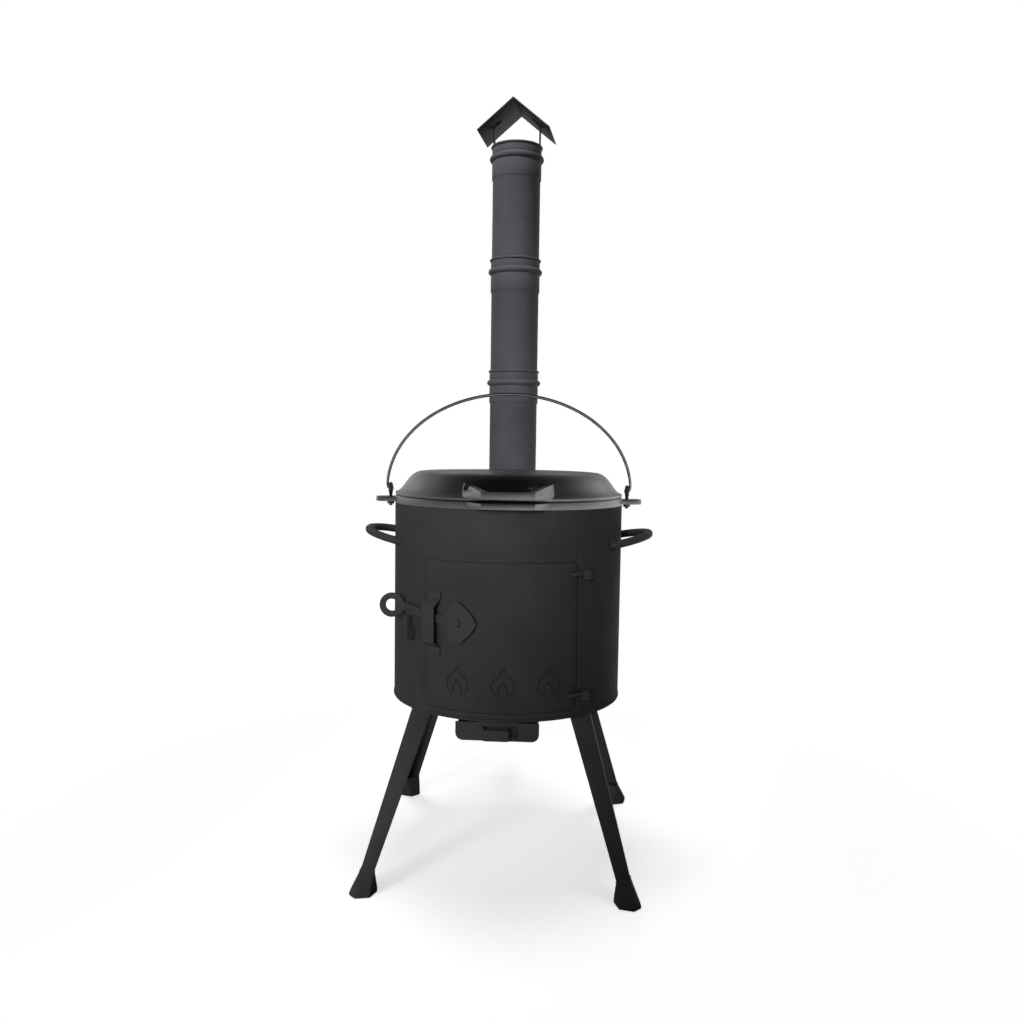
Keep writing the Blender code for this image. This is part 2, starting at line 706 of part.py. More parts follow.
def hinge_pin(name, low):
    """Return a headed pin that stands in the two eyes."""
    top = low + 2 * HINGE_EYE_THICK + 2 * SEAT_GAP
    pin = turned(name, [(0.0, top + HINGE_HEAD_THICK), (HINGE_HEAD_RADIUS, top + HINGE_HEAD_THICK),
                        (HINGE_HEAD_RADIUS, top), (HINGE_PIN_RADIUS, top),
                        (HINGE_PIN_RADIUS, low), (0.0, low)], SMALL_STEPS, ZINC)
    axis = on_drum(HINGE_RADIUS, HINGE_ANGLE, 0.0)
    return place(pin, Matrix.Translation(axis))


def build_hinges():
    """Return the fixed hinge pieces and the door's own, two hinges of each."""
    fixed, moving = [], []
    for where, middle in HINGE_HEIGHTS.items():
        low = middle - HINGE_EYE_THICK - SEAT_GAP / 2
        fixed.append(hinge_eye("hinge_eye_" + where, 1, HINGE_LEAF, low, 0.0))
        fixed.append(hinge_pin("hinge_pin_" + where, low))
        moving.append(hinge_eye("door_eye_" + where, -1, HINGE_LEAF + HINGE_PAST_DOOR,
                                low + HINGE_EYE_THICK + SEAT_GAP, 0.0))
    return fixed, moving


# Latch
def lever_section(along, low, high):
    """Return one cross-section of the lever; along is the arc from the bolt, to the left."""
    turn = min(along, LEVER_BEND_ARC) / LEVER_INNER
    angle = LATCH_ANGLE - turn
    inner = on_drum(LEVER_INNER, angle, 0.0)
    normal = on_drum(1.0, angle, 0.0)
    if along > LEVER_BEND_ARC:
        inner.x -= along - LEVER_BEND_ARC
        normal = Vector((0.0, -1.0, 0.0))
    outer = inner + normal * LEVER_THICK
    low_z, high_z = LATCH_Z + low, LATCH_Z + high
    return [(inner.x, inner.y, low_z), (outer.x, outer.y, low_z),
            (outer.x, outer.y, high_z), (inner.x, inner.y, high_z)]


def lever_edges(along):
    """Return the lever's lower and upper edge, measured from the bolt."""
    middle = along * math.tan(math.radians(LEVER_SLOPE_DEG))
    low, high = middle - LEVER_WIDTH / 2, middle + LEVER_WIDTH / 2
    if along >= LEVER_HEAD_LENGTH:
        return low, high
    share = abs(along) / LEVER_HEAD_LENGTH
    bulge = LEVER_HEAD_HEIGHT * (1 - share ** LEVER_HEAD_POWER) ** (1 / LEVER_HEAD_POWER)
    if along < 0:
        return -bulge, bulge
    return min(-bulge, low), max(bulge, high)


def build_lever():
    """The flat latch lever, rolled to the drum, with a bent-out tail that ends in a ring."""
    arm_steps = DOOR_STEPS // 2
    turns = [math.pi / 2 * i / arm_steps for i in range(arm_steps)]
    head = [-LEVER_HEAD_LENGTH * LEVER_TIP_SHARE * math.cos(turn) for turn in turns]
    body = [LEVER_HEAD_LENGTH * math.sin(turn) for turn in turns] + [LEVER_HEAD_LENGTH]
    arm = [LEVER_HEAD_LENGTH + (LEVER_BEND_ARC - LEVER_HEAD_LENGTH) * i / arm_steps
           for i in range(1, arm_steps + 1)]
    tail = [LEVER_BEND_ARC + LEVER_THICK, LEVER_BEND_ARC + LEVER_TAIL - (RING_RADIUS + RING_HOLE_RADIUS) / 2]
    sections = [lever_section(s, *lever_edges(s)) for s in head + body + arm + tail]
    lever = loft("latch_lever", sections, HEAT_PAINT)
    ring = flat_plate("latch_ring", circle(RING_RADIUS, SMALL_STEPS * 2), LEVER_THICK, HEAT_PAINT,
                      [circle(RING_HOLE_RADIUS, SMALL_STEPS * 2)])
    centre = on_drum(LEVER_INNER, LATCH_ANGLE - LEVER_BEND_ARC / LEVER_INNER, LATCH_Z)
    rise = (LEVER_BEND_ARC + LEVER_TAIL) * math.tan(math.radians(LEVER_SLOPE_DEG))
    centre += Vector((-LEVER_TAIL, -LEVER_THICK / 2, rise))
    place(ring, Matrix.Translation(centre) @ Matrix.Rotation(math.pi / 2, 4, 'X'))
    bore = cylinder("lever_bore", BOLT_RADIUS + PIN_PLAY, LEVER_INNER - CUT_OVERRUN,
                    LEVER_OUTER + CUT_OVERRUN, SMALL_STEPS, HEAT_PAINT)
    place(bore, Matrix.Translation((0.0, 0.0, LATCH_Z)) @ outward_from_axis(LATCH_ANGLE))
    fuse(lever, ring)
    return [cut(lever, bore)]


def build_latch_bolt():
    """The shouldered bolt that the lever turns on, and its nut inside the door."""
    nut_face = DRUM_INNER - SEAT_GAP
    end = nut_face - BOLT_NUT_THICK - BOLT_END
    head = LEVER_OUTER + SEAT_GAP
    collar_low = DRUM_RADIUS + SEAT_GAP
    collar_high = LEVER_INNER - 2 * SEAT_GAP
    bolt = turned("latch_bolt", [(0.0, head + BOLT_HEAD_THICK), (BOLT_DOME_RADIUS, head + BOLT_HEAD_THICK),
                                 (BOLT_HEAD_RADIUS, head + BOLT_HEAD_THICK / 2), (BOLT_HEAD_RADIUS, head),
                                 (BOLT_RADIUS, head), (BOLT_RADIUS, collar_high),
                                 (BOLT_COLLAR_RADIUS, collar_high), (BOLT_COLLAR_RADIUS, collar_low),
                                 (BOLT_RADIUS, collar_low), (BOLT_RADIUS, end), (0.0, end)],
                  SMALL_STEPS, ZINC)
    nut = hex_nut("latch_nut", BOLT_NUT_RADIUS, BOLT_RADIUS, BOLT_NUT_THICK)
    place(nut, Matrix.Translation((0.0, 0.0, nut_face - BOLT_NUT_THICK / 2)))
    for piece in (bolt, nut):
        place(piece, Matrix.Translation((0.0, 0.0, LATCH_Z)) @ outward_from_axis(LATCH_ANGLE))
    return [bolt, nut]


def hex_nut(name, radius, thread_radius, thickness):
    """Return a six-sided nut round the Z axis."""
    return flat_plate(name, circle(radius, 6), thickness, ZINC,
                      [circle(thread_radius + PIN_PLAY, SMALL_STEPS)])


def build_guide():
    """The bent strap on the door that the lever passes under."""
    rise = GUIDE_FOOT + GUIDE_RISER
    path = [(0.0, 0.0), (0.0, GUIDE_FOOT), (GUIDE_STANDOFF, rise),
            (GUIDE_STANDOFF, rise + GUIDE_BRIDGE), (0.0, rise + GUIDE_BRIDGE + GUIDE_RISER),
            (0.0, 2 * rise + GUIDE_BRIDGE)]
    outline = strip(path[::-1], GUIDE_THICK)
    guide = flat_plate("latch_guide", outline, GUIDE_WIDTH, HEAT_PAINT)
    return [place(guide, facing(GUIDE_ANGLE, DRUM_RADIUS + SEAT_GAP, LATCH_Z - GUIDE_BELOW_BOLT))]


def build_keeper():
    """The notched hook beside the door that the lever drops into."""
    lever_low = -KEEPER_ARC * math.tan(math.radians(LEVER_SLOPE_DEG)) - LEVER_WIDTH / 2
    tip = lever_low - KEEPER_BELOW_LEVER
    floor = tip - KEEPER_NOTCH
    low = floor - KEEPER_BELOW_NOTCH
    inner = LATCH_STANDOFF + LEVER_THICK + KEEPER_PLAY
    outer = inner + KEEPER_FINGER
    outline = [(0.0, low), (outer - KEEPER_CHAMFER, low), (outer, low + KEEPER_CHAMFER), (outer, tip),
               (inner, tip), (inner, floor), (0.0, floor)]
    keeper = flat_plate("latch_keeper", outline, KEEPER_THICK, HEAT_PAINT)
    return [place(keeper, facing(KEEPER_ANGLE, DRUM_RADIUS + SEAT_GAP, LATCH_Z))]


# Side handles
def build_side_handles():
    """Two round-bar loops welded to the drum's sides, tilted up."""
    handles = []
    reach = DRUM_RADIUS + HANDLE_REACH - HANDLE_BAR_RADIUS
    root = math.sqrt(DRUM_RADIUS ** 2 - (HANDLE_CHORD / 2) ** 2)
    low = DRUM_TOP - HANDLE_BELOW_RIM
    slope = HANDLE_RISE / (reach - root)
    start = root - CUT_OVERRUN
    turns = [math.pi * i / HANDLE_STEPS for i in range(HANDLE_STEPS + 1)]
    loop = [(start + (reach - start) * math.sin(turn), -HANDLE_CHORD / 2 * math.cos(turn)) for turn in turns]
    for side, sign in (("left", -1), ("right", 1)):
        path = [(sign * x, y, low + (x - root) * slope) for x, y in loop]
        bar = tube("side_handle_" + side, path, HANDLE_BAR_RADIUS, HANDLE_ROUND, HEAT_PAINT)
        handles.append(cut(bar, drum_block("handle_seat_" + side, DRUM_RADIUS + SEAT_GAP)))
    return handles


# Legs and feet
def angle_section(x, y, flange):
    """Return the six corners of an angle whose corner, at (x, y), looks along +X +Y."""
    return [(x, y), (x - flange, y), (x - flange, y - LEG_THICK), (x - LEG_THICK, y - LEG_THICK),
            (x - LEG_THICK, y - flange), (x, y - flange)]


def tapered_leg(name):
    """Return one splayed, tapered leg of angle section in the +X +Y corner."""
    low, high = FOOT_HEIGHT + SEAT_GAP, FLOOR_TO_PLATE - SEAT_GAP
    top = (LEG_TOP_X, LEG_TOP_Y)
    leg = flat_plate(name, angle_section(*top, LEG_TOP_FLANGE), high - low, HEAT_PAINT)
    place(leg, Matrix.Translation((0.0, 0.0, (low + high) / 2)))
    for vertex in leg.data.vertices:
        if vertex.co.z < 0:
            for axis, foot in enumerate((LEG_FOOT_X, LEG_FOOT_Y)):
                inset = top[axis] - vertex.co[axis]
                if inset > LEG_THICK * 2:
                    inset += LEG_FOOT_FLANGE - LEG_TOP_FLANGE
                vertex.co[axis] = foot - inset
    return leg


def spade_foot(name):
    """Return one flared foot in the +X +Y corner: a spade on the floor that rises to the leg."""
    outline = [(FOOT_TOE, -FOOT_TOE_HALF), (FOOT_TOE, FOOT_TOE_HALF), (FOOT_WIDE_AT, FOOT_WIDE_HALF),
               (-FOOT_HEEL, FOOT_HEEL_HALF), (-FOOT_HEEL, -FOOT_HEEL_HALF), (FOOT_WIDE_AT, -FOOT_WIDE_HALF)]
    out = Matrix.Rotation(math.pi / 4, 4, 'Z') @ Matrix.Translation((FOOT_CENTRE, 0.0, 0.0))
    points = [out @ Vector((x, y, z)) for x, y in outline for z in (0.0, FOOT_EDGE)]
    far_x, far_y = LEG_FOOT_X + FOOT_TOP_MARGIN, LEG_FOOT_Y + FOOT_TOP_MARGIN
    width = LEG_FOOT_FLANGE + FOOT_TOP_MARGIN * 2
    points += [Vector((x, y, FOOT_HEIGHT)) for x, y in
               ((far_x, far_y), (far_x - width, far_y), (far_x - width, far_y - LEG_THICK),
                (far_x - LEG_THICK, far_y - width), (far_x, far_y - width))]
    return hull(name, points, HEAT_PAINT)


def build_legs():
    """Four legs with their feet."""
    pieces = []
    corners = {"front_left": (-1, -1), "front_right": (1, -1), "rear_left": (-1, 1), "rear_right": (1, 1)}
    for corner, (side, end) in corners.items():
        mirror = Matrix.Diagonal((side, end, 1.0, 1.0))
        pieces.append(place(tapered_leg("leg_" + corner), mirror))
        pieces.append(place(spade_foot("foot_" + corner), mirror))
    return pieces


# Ash drawer
def build_rails():
    """Two angle rails under the bottom plate that carry the ash tray."""
    web = TRAY_WIDTH / 2 + RAIL_SIDE_PLAY
    high = FLOOR_TO_PLATE - SEAT_GAP
    ledge = FLOOR_TO_PLATE - TRAY_BELOW_PLATE - TRAY_HEIGHT - SEAT_GAP
    front = -DRAWER_FRONT_Y + DRAWER_FRONT_THICK + RAIL_SIDE_PLAY
    rails = []
    for side, sign in (("left", -1), ("right", 1)):
        path = [(web, high), (web, ledge), (web - RAIL_LEDGE, ledge)]
        outline = strip(path[::-1], -RAIL_THICK)
        rail = flat_plate("drawer_rail_" + side, outline, TRAY_LENGTH, HEAT_PAINT)
        stand = Matrix.Translation((0.0, front + TRAY_LENGTH / 2, 0.0)) @ Matrix.Rotation(math.pi / 2, 4, 'X')
        rails.append(place(rail, Matrix.Diagonal((sign, 1.0, 1.0, 1.0)) @ stand))
    return rails


def build_drawer():
    """The ash tray, its front plate and its strap handle."""
    low = FLOOR_TO_PLATE - TRAY_BELOW_PLATE - TRAY_HEIGHT
    half = TRAY_WIDTH / 2
    near = -DRAWER_FRONT_Y + DRAWER_FRONT_THICK + SEAT_GAP
    tray = box("ash_tray", (-half, near, low), (half, near + TRAY_LENGTH, low + TRAY_HEIGHT), ASH_SHEET)
    hollow = box("ash_tray_cut", (TRAY_SHEET - half, near + TRAY_SHEET, low + TRAY_SHEET),
                 (half - TRAY_SHEET, near + TRAY_LENGTH - TRAY_SHEET, low + TRAY_HEIGHT + CUT_OVERRUN), ASH_SHEET)
    cut(tray, hollow)
    return [tray, drawer_front(), drawer_handle()]


def drawer_front():
    """Return the drawer's front plate, with round lower corners."""
    half = DRAWER_FRONT_WIDTH / 2
    high = FLOOR_TO_PLATE - DRAWER_FRONT_DROP
    low = high - DRAWER_FRONT_HEIGHT
    lower = fillet([(-half, high, 0.0), (-half, low, 0.0), (half, low, 0.0), (half, high, 0.0)],
                   DRAWER_FRONT_CORNER)
    front = flat_plate("drawer_front", [(p.x, p.y) for p in lower], DRAWER_FRONT_THICK, HEAT_PAINT)
    stand = Matrix.Translation((0.0, -DRAWER_FRONT_Y + DRAWER_FRONT_THICK / 2, 0.0))
    return place(front, stand @ Matrix.Rotation(math.pi / 2, 4, 'X'))


def drawer_handle():
    """Return the bridge strap on the drawer's front."""
    half = STRAP_WIDTH / 2
    out = STRAP_OUT - STRAP_THICK
    path = [(-half, 0.0, 0.0), (STRAP_FOOT - half, 0.0, 0.0), (STRAP_FOOT - half, -out, 0.0),
            (half - STRAP_FOOT, -out, 0.0), (half - STRAP_FOOT, 0.0, 0.0), (half, 0.0, 0.0)]
    bends = fillet(path, STRAP_THICK)
    outline = strip([(p.x, p.y) for p in bends], -STRAP_THICK)
    handle = flat_plate("drawer_handle", outline, STRAP_HEIGHT, HEAT_PAINT)
    height = FLOOR_TO_PLATE - DRAWER_FRONT_DROP - DRAWER_FRONT_HEIGHT / 2
    return place(handle, Matrix.Translation((0.0, -DRAWER_FRONT_Y - SEAT_GAP, height)))


# Cauldron, lid and bail
def bowl_outline():
    """Return the cauldron's outline, from its mouth down the outside and back up the inside."""
    flange = DRUM_RADIUS
    corner = POT_WALL / 2
    low = POT_SEAT - POT_STRAIGHT
    outside = [(flange - corner, POT_TOP), (flange, POT_TOP - corner), (flange, POT_SEAT),
               (BOWL_RADIUS, POT_SEAT)]
    inside = []
    for step in range(CORNER_STEPS * 2 + 1):
        turn = step / (CORNER_STEPS * 2) * math.pi / 2
        outside.append((BOWL_RADIUS * math.cos(turn), low - POT_ROUND * math.sin(turn)))
        inside.append(((BOWL_RADIUS - POT_WALL) * math.cos(turn), low - (POT_ROUND - POT_WALL) * math.sin(turn)))
    outside[-1] = (0.0, outside[-1][1])
    inside[-1] = (0.0, inside[-1][1])
    mouth = [(BOWL_RADIUS - POT_WALL, POT_TOP)]
    return mouth + outside, inside[::-1]


def build_cauldron():
    """The cast bowl with its flange, two eared lugs for the bail and two grip tabs."""
    outside, inside = bowl_outline()
    pot = turned("cauldron", inside + outside, POT_STEPS, CAST)
    for side, sign in (("left", -1), ("right", 1)):
        fuse(pot, pot_ear("pot_ear_" + side, sign))
        cut(pot, eye_bore("pot_ear_bore_" + side, sign))
    for end, sign in (("front", -1), ("back", 1)):
        fuse(pot, pot_tab("pot_tab_" + end, sign))
    return pot


def pot_ear(name, sign):
    """Return one round-ended ear of the cauldron's flange."""
    root = DRUM_RADIUS - POT_WALL
    centre = EAR_TIP - POT_EAR_HALF
    end = [(centre + POT_EAR_HALF * math.cos(t), POT_EAR_HALF * math.sin(t))
           for t in (math.pi * (i / SMALL_STEPS * 2 - 0.5) for i in range(SMALL_STEPS // 2 + 1))]
    outline = [(root, -POT_EAR_HALF), *end, (root, POT_EAR_HALF)]
    ear = flat_plate(name, outline, POT_EAR_THICK, CAST)
    height = POT_SEAT + POT_EAR_UP + POT_EAR_THICK / 2
    return place(ear, Matrix.Translation((0.0, 0.0, height)) @ Matrix.Diagonal((sign, 1.0, 1.0, 1.0)))


def eye_bore(name, sign):
    """Return the tool for an eye bolt's hole."""
    bore = cylinder(name, EYE_SHANK_RADIUS + PIN_PLAY, POT_SEAT - CUT_OVERRUN, EAR_TOP + CUT_OVERRUN,
                    SMALL_STEPS, CAST)
    return place(bore, Matrix.Translation((sign * EYE_X, 0.0, 0.0)))


def pot_tab(name, sign):
    """Return one grip tab of the cauldron's flange."""
    root = DRUM_RADIUS - POT_WALL * 2
    tip = DRUM_RADIUS + POT_TAB_REACH
    outline = [(-POT_TAB_ROOT_HALF, root), (-POT_TAB_TIP_HALF, tip), (POT_TAB_TIP_HALF, tip),
               (POT_TAB_ROOT_HALF, root)]
    tab = flat_plate(name, outline, POT_TAB_THICK, CAST)
    height = POT_SEAT + POT_TAB_UP + POT_TAB_THICK / 2
    return place(tab, Matrix.Translation((0.0, 0.0, height)) @ Matrix.Diagonal((1.0, sign, 1.0, 1.0)))


def lid_curve(foot, flare, shoulder, flat):
    """Return the points of a cubic curve from the lid's flat top down to its rim."""
    points = []
    for step in range(SHOULDER_STEPS + 1):
        share = step / SHOULDER_STEPS
        rest = 1 - share
        point = (Vector(flat) * rest ** 3 + Vector(shoulder) * (3 * rest ** 2 * share)
                 + Vector(flare) * (3 * rest * share ** 2) + Vector(foot) * share ** 3)
        points.append(tuple(point))
    return points


def build_lid():
    """The cast lid: a flat top, a round shoulder that flares into the rim, and two grips."""
    crown = LID_SEAT + LID_HEIGHT
    rim_top = LID_SEAT + LID_RIM_THICK
    flat = LID_RADIUS - LID_FLAT_INSET
    flare = LID_RADIUS - LID_FLARE_INSET
    shoulder = LID_RADIUS - LID_SHOULDER_INSET
    outer = lid_curve((LID_RADIUS, rim_top), (flare, LID_SEAT + LID_RIM_THICK + LID_FLARE_RISE),
                      (shoulder, crown), (flat, crown))
    inner = lid_curve((LID_RADIUS - LID_RIM_WIDTH, LID_SEAT), (flare - LID_WALL, LID_SEAT + LID_FLARE_RISE),
                      (shoulder - LID_WALL, crown - LID_WALL), (flat, crown - LID_WALL))
    outline = [(0.0, crown), *outer, (LID_RADIUS, LID_SEAT), *inner[::-1], (0.0, crown - LID_WALL)]
    lid = turned("lid", outline, POT_STEPS, CAST)
    for end, sign in (("front", -1), ("back", 1)):
        fuse(lid, *lid_grip("lid_grip_" + end, sign))
    return lid


def lid_grip(name, sign):
    """Return the bar and the two rising arms of one lid grip."""
    low = LID_SEAT + LID_GRIP_UP
    high = low + LID_GRIP_THICK
    ear = LID_SEAT + LID_GRIP_EAR
    face = LID_RADIUS + LID_GRIP_OUT
    back = face - LID_GRIP_BAR
    root_y = math.sqrt(LID_RADIUS ** 2 - LID_GRIP_ROOT_HALF ** 2)
    bar = hull(name + "_bar", [(x, sign * y, z) for x in (-LID_GRIP_TIP_HALF, LID_GRIP_TIP_HALF)
                               for y in (back, face) for z in (low, high)], CAST)
    arms = []
    for side, hand in (("left", -1), ("right", 1)):
        tip = [(hand * x, sign * y, z) for x in (LID_GRIP_TIP_HALF - LID_GRIP_BAR, LID_GRIP_TIP_HALF)
               for y in (back, face) for z in (low, high)]
        roots = (LID_GRIP_ROOT_HALF - LID_GRIP_BAR, LID_GRIP_ROOT_HALF)
        foot = [(hand * x, sign * (root_y - LID_GRIP_EAR_FOOT), low) for x in roots]
        top = [(hand * x, sign * (root_y - LID_GRIP_EAR_IN), ear) for x in roots]
        arms.append(hull(name + "_arm_" + side, tip + foot + top, CAST))
    return [bar, *arms]


def build_eye_bolts():
    """Two eye bolts through the ears, each with a nut below."""
    pieces = []
    for side, sign in (("left", -1), ("right", 1)):
        nut_high = POT_SEAT + POT_EAR_UP - SEAT_GAP
        end = nut_high - EYE_NUT_THICK - EYE_SHANK_END
        shank_top = EYE_Z - EYE_RADIUS
        name = "eye_bolt_" + side
        shank = cylinder(name, EYE_SHANK_RADIUS, end, shank_top, SMALL_STEPS, ZINC)
        section = circle(EYE_WIRE_RADIUS, SMALL_STEPS // 2, (EYE_RADIUS, 0.0))
        ring = turned(name + "_ring", section[::-1], SMALL_STEPS, ZINC)
        stand = Matrix.Rotation(math.pi / 2, 4, 'Y')
        place(ring, Matrix.Translation((sign * EYE_X, 0.0, EYE_Z)) @ stand)
        place(shank, Matrix.Translation((sign * EYE_X, 0.0, 0.0)))
        nut = hex_nut("eye_nut_" + side, EYE_NUT_RADIUS, EYE_SHANK_RADIUS, EYE_NUT_THICK)
        place(nut, Matrix.Translation((sign * EYE_X, 0.0, nut_high - EYE_NUT_THICK / 2)))
        pieces += [fuse(shank, ring), nut]
    return pieces


def build_bail():
    """The wire bail: a half ellipse whose ends turn in through the eye bolts."""
    path = []
    for step in range(BAIL_STEPS + 1):
        turn = math.pi * step / BAIL_STEPS
        path.append((-BAIL_HALF * math.cos(turn), 0.0, EYE_Z + BAIL_HEIGHT * math.sin(turn)))
    end = EYE_X - BAIL_END_IN
    path = [(-end, 0.0, EYE_Z), *path, (end, 0.0, EYE_Z)]
    return tube("bail", path, BAIL_WIRE_RADIUS, BAIL_ROUND, ZINC)


# Flue, chimney and rain cap
def build_flue_box():
    """The welded box behind the drum that turns the smoke upwards."""
    back = CHIMNEY_BEHIND + FLUE_BEHIND_PIPE
    low = FLUE_TOP - FLUE_HEIGHT
    front = DRUM_RADIUS - CUT_OVERRUN * 2
    left, right = CHIMNEY_X - FLUE_HALF_WIDTH, CHIMNEY_X + FLUE_HALF_WIDTH
    shell = box("flue_box", (left, front, low), (right, back, FLUE_TOP), HEAT_PAINT)
    hollow = box("flue_box_cut", (left + FLUE_SHEET, front - CUT_OVERRUN, low + FLUE_SHEET),
                 (right - FLUE_SHEET, back - FLUE_SHEET, FLUE_TOP - FLUE_SHEET), HEAT_PAINT)
    bore = cylinder("flue_box_bore", PIPE_RADIUS - COLLAR_LEDGE, FLUE_TOP - CUT_OVERRUN, FLUE_TOP + CUT_OVERRUN,
                    PIPE_STEPS, HEAT_PAINT)
    place_at_chimney(bore)
    return [cut(shell, hollow, bore, drum_block("flue_seat", DRUM_RADIUS + SEAT_GAP))]


def build_collar():
    """The collar on the flue box that holds the lowest chimney section."""
    low = FLUE_TOP + SEAT_GAP
    top = COLLAR_LEDGE_Z + COLLAR_RISE
    flange = SOCKET_OUTER + COLLAR_FLANGE
    collar = turned("flue_collar", [(SOCKET_OUTER, top), (SOCKET_OUTER, low + COLLAR_FLANGE_THICK),
                                    (flange, low + COLLAR_FLANGE_THICK), (flange, low),
                                    (PIPE_RADIUS - COLLAR_LEDGE, low), (PIPE_RADIUS - COLLAR_LEDGE, COLLAR_LEDGE_Z),
                                    (SOCKET_INNER, COLLAR_LEDGE_Z), (SOCKET_INNER, top)], PIPE_STEPS, HEAT_PAINT)
    return [place_at_chimney(collar)]


def place_at_chimney(obj, height=0.0, turn=0.0):
    """Move a piece built on the Z axis to the chimney's axis, raised and turned."""
    return place(obj, Matrix.Translation((CHIMNEY_X, CHIMNEY_BEHIND, height)) @ Matrix.Rotation(turn, 4, 'Z'))


def chimney_section(name, lip):
    """Return one pipe whose top is a rolled socket with a bead."""
    step = lip - SOCKET_DEPTH
    bead = lip - BEAD_BELOW_LIP
    low = lip - SECTION_LENGTH
    bulge = BEAD_RADIUS - SOCKET_OUTER
    outside = [(LIP_RADIUS, lip), (LIP_RADIUS, lip - LIP_HEIGHT), (SOCKET_OUTER, lip - LIP_HEIGHT - SOCKET_SLOPE)]
    for i in range(CORNER_STEPS + 1):
        turn = math.pi * i / CORNER_STEPS
        outside.append((SOCKET_OUTER + bulge * math.sin(turn), bead + BEAD_HALF * math.cos(turn)))
    outside += [(SOCKET_OUTER, step), (PIPE_RADIUS, step - SOCKET_SLOPE), (PIPE_RADIUS, low)]
    inner = PIPE_RADIUS - PIPE_WALL
    inside = [(inner, low), (inner, step), (SOCKET_INNER, step), (SOCKET_INNER, lip)]
    return place_at_chimney(turned(name, outside + inside, PIPE_STEPS, PIPE_STEEL))


def build_chimney():
    """Three equal sections, each standing in the socket of the one below."""
    return [chimney_section("chimney_section_%d" % (i + 1), FIRST_LIP + i * (SECTION_PITCH + SEAT_GAP))
            for i in range(3)]


def build_cap():
    """The folded rain roof and the two bent straps that carry it in the top socket."""
    slope = math.atan2(CAP_RISE, CAP_HALF_SPAN)
    path = [(CAP_HALF_SPAN, 0.0), (0.0, CAP_RISE), (-CAP_HALF_SPAN, 0.0)]
    roof = flat_plate("cap_roof", strip(path, CAP_SHEET), CAP_LENGTH, PIPE_STEEL)
    stand = Matrix.Rotation(math.pi / 2, 4, 'X')
    place_at_chimney(place(roof, stand), CAP_LOW, CAP_TURN)
    pieces = [roof]
    face = math.sqrt(SOCKET_INNER ** 2 - (CAP_STRUT_WIDTH / 2) ** 2) - SEAT_GAP - CAP_STRUT_THICK
    roof_under = CAP_RISE - face * CAP_RISE / CAP_HALF_SPAN - (CAP_SHEET + SEAT_GAP) / math.cos(slope)
    bottom = -CAP_ABOVE_LIP - CAP_STRUT_DEPTH
    knee = roof_under - CAP_STRUT_THICK / math.cos(slope)
    tab_end = (face - CAP_STRUT_TAB * math.cos(slope), knee + CAP_STRUT_TAB * math.sin(slope))
    for side, sign in (("left", -1), ("right", 1)):
        outline = strip([(face, bottom), (face, knee), tab_end], -CAP_STRUT_THICK)
        strut = flat_plate("cap_strut_" + side, outline, CAP_STRUT_WIDTH, PIPE_STEEL)
        place(strut, Matrix.Diagonal((sign, 1.0, 1.0, 1.0)) @ stand)
        pieces.append(place_at_chimney(strut, CAP_LOW, CAP_TURN))
    return pieces


# Joints and assembly
def joint_empty(name, location, parent=None):
    """Return an empty on a joint's axis, placed in the drum's frame."""
    empty = bpy.data.objects.new(name, None)
    PARTS.objects.link(empty)
    empty.location = location
    if parent:
        bpy.context.view_layer.update()
        empty.parent = parent
        empty.matrix_parent_inverse = parent.matrix_world.inverted()
    return empty


def hang(pieces, empty):
    """Parent pieces to an empty and leave them where they are."""
    bpy.context.view_layer.update()
    for piece in pieces:
        tools = [m.object for m in piece.modifiers if m.type == 'BOOLEAN']
        for obj in (piece, *tools):
            obj.parent = empty
            obj.matrix_parent_inverse = empty.matrix_world.inverted()


def build_stove():
    """Build every piece, hang it on its joint and set the whole on its origin."""
    axis = joint_empty("drum_axis", (0.0, 0.0, 0.0))
    hinge = joint_empty("door_joint", on_drum(HINGE_RADIUS, HINGE_ANGLE, HINGE_HEIGHTS["lower"]), axis)
    latch = joint_empty("latch_joint", on_drum(LEVER_INNER, LATCH_ANGLE, LATCH_Z), hinge)
    drawer = joint_empty("drawer_joint", (0.0, -DRAWER_FRONT_Y, FLOOR_TO_PLATE), axis)
    pot = joint_empty("cauldron_joint", (0.0, 0.0, POT_SEAT), axis)
    bail = joint_empty("bail_joint", (0.0, 0.0, EYE_Z), pot)
    chimney = joint_empty("chimney_joint", (CHIMNEY_X, CHIMNEY_BEHIND, COLLAR_LEDGE_Z), axis)
    fixed_hinges, door_eyes = build_hinges()
    hang(build_drum() + build_bottom_plate() + build_pot_ring() + build_door_frame() + build_grate()
         + fixed_hinges + build_keeper() + build_side_handles() + build_legs() + build_rails()
         + build_flue_box() + build_collar(), axis)
    hang(build_door() + door_eyes + build_latch_bolt() + build_guide(), hinge)
    hang(build_lever(), latch)
    hang(build_drawer(), drawer)
    hang([build_cauldron(), build_lid(), *build_eye_bolts()], pot)
    hang([build_bail()], bail)
    hang(build_chimney() + build_cap(), chimney)
    pot.rotation_euler.z = math.radians(POT_TURN_DEG)
    axis.location.y = STOVE_Y
    bpy.context.view_layer.update()


build_stove()
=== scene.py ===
"""Cauldron stove, dressed for the photograph.

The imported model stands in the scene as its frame. Each class below dresses one sub-assembly of the
stove: it models the pieces that need finer shapes than the frame has, and gives every piece its
finish. Lengths are metres in the frame's own axes: +Z up, the fire door looks along -Y.
"""
from __future__ import annotations

import logging
import math
import random
from dataclasses import dataclass, field
from enum import Enum
from typing import Sequence

import bpy
from mathutils import Matrix, Vector

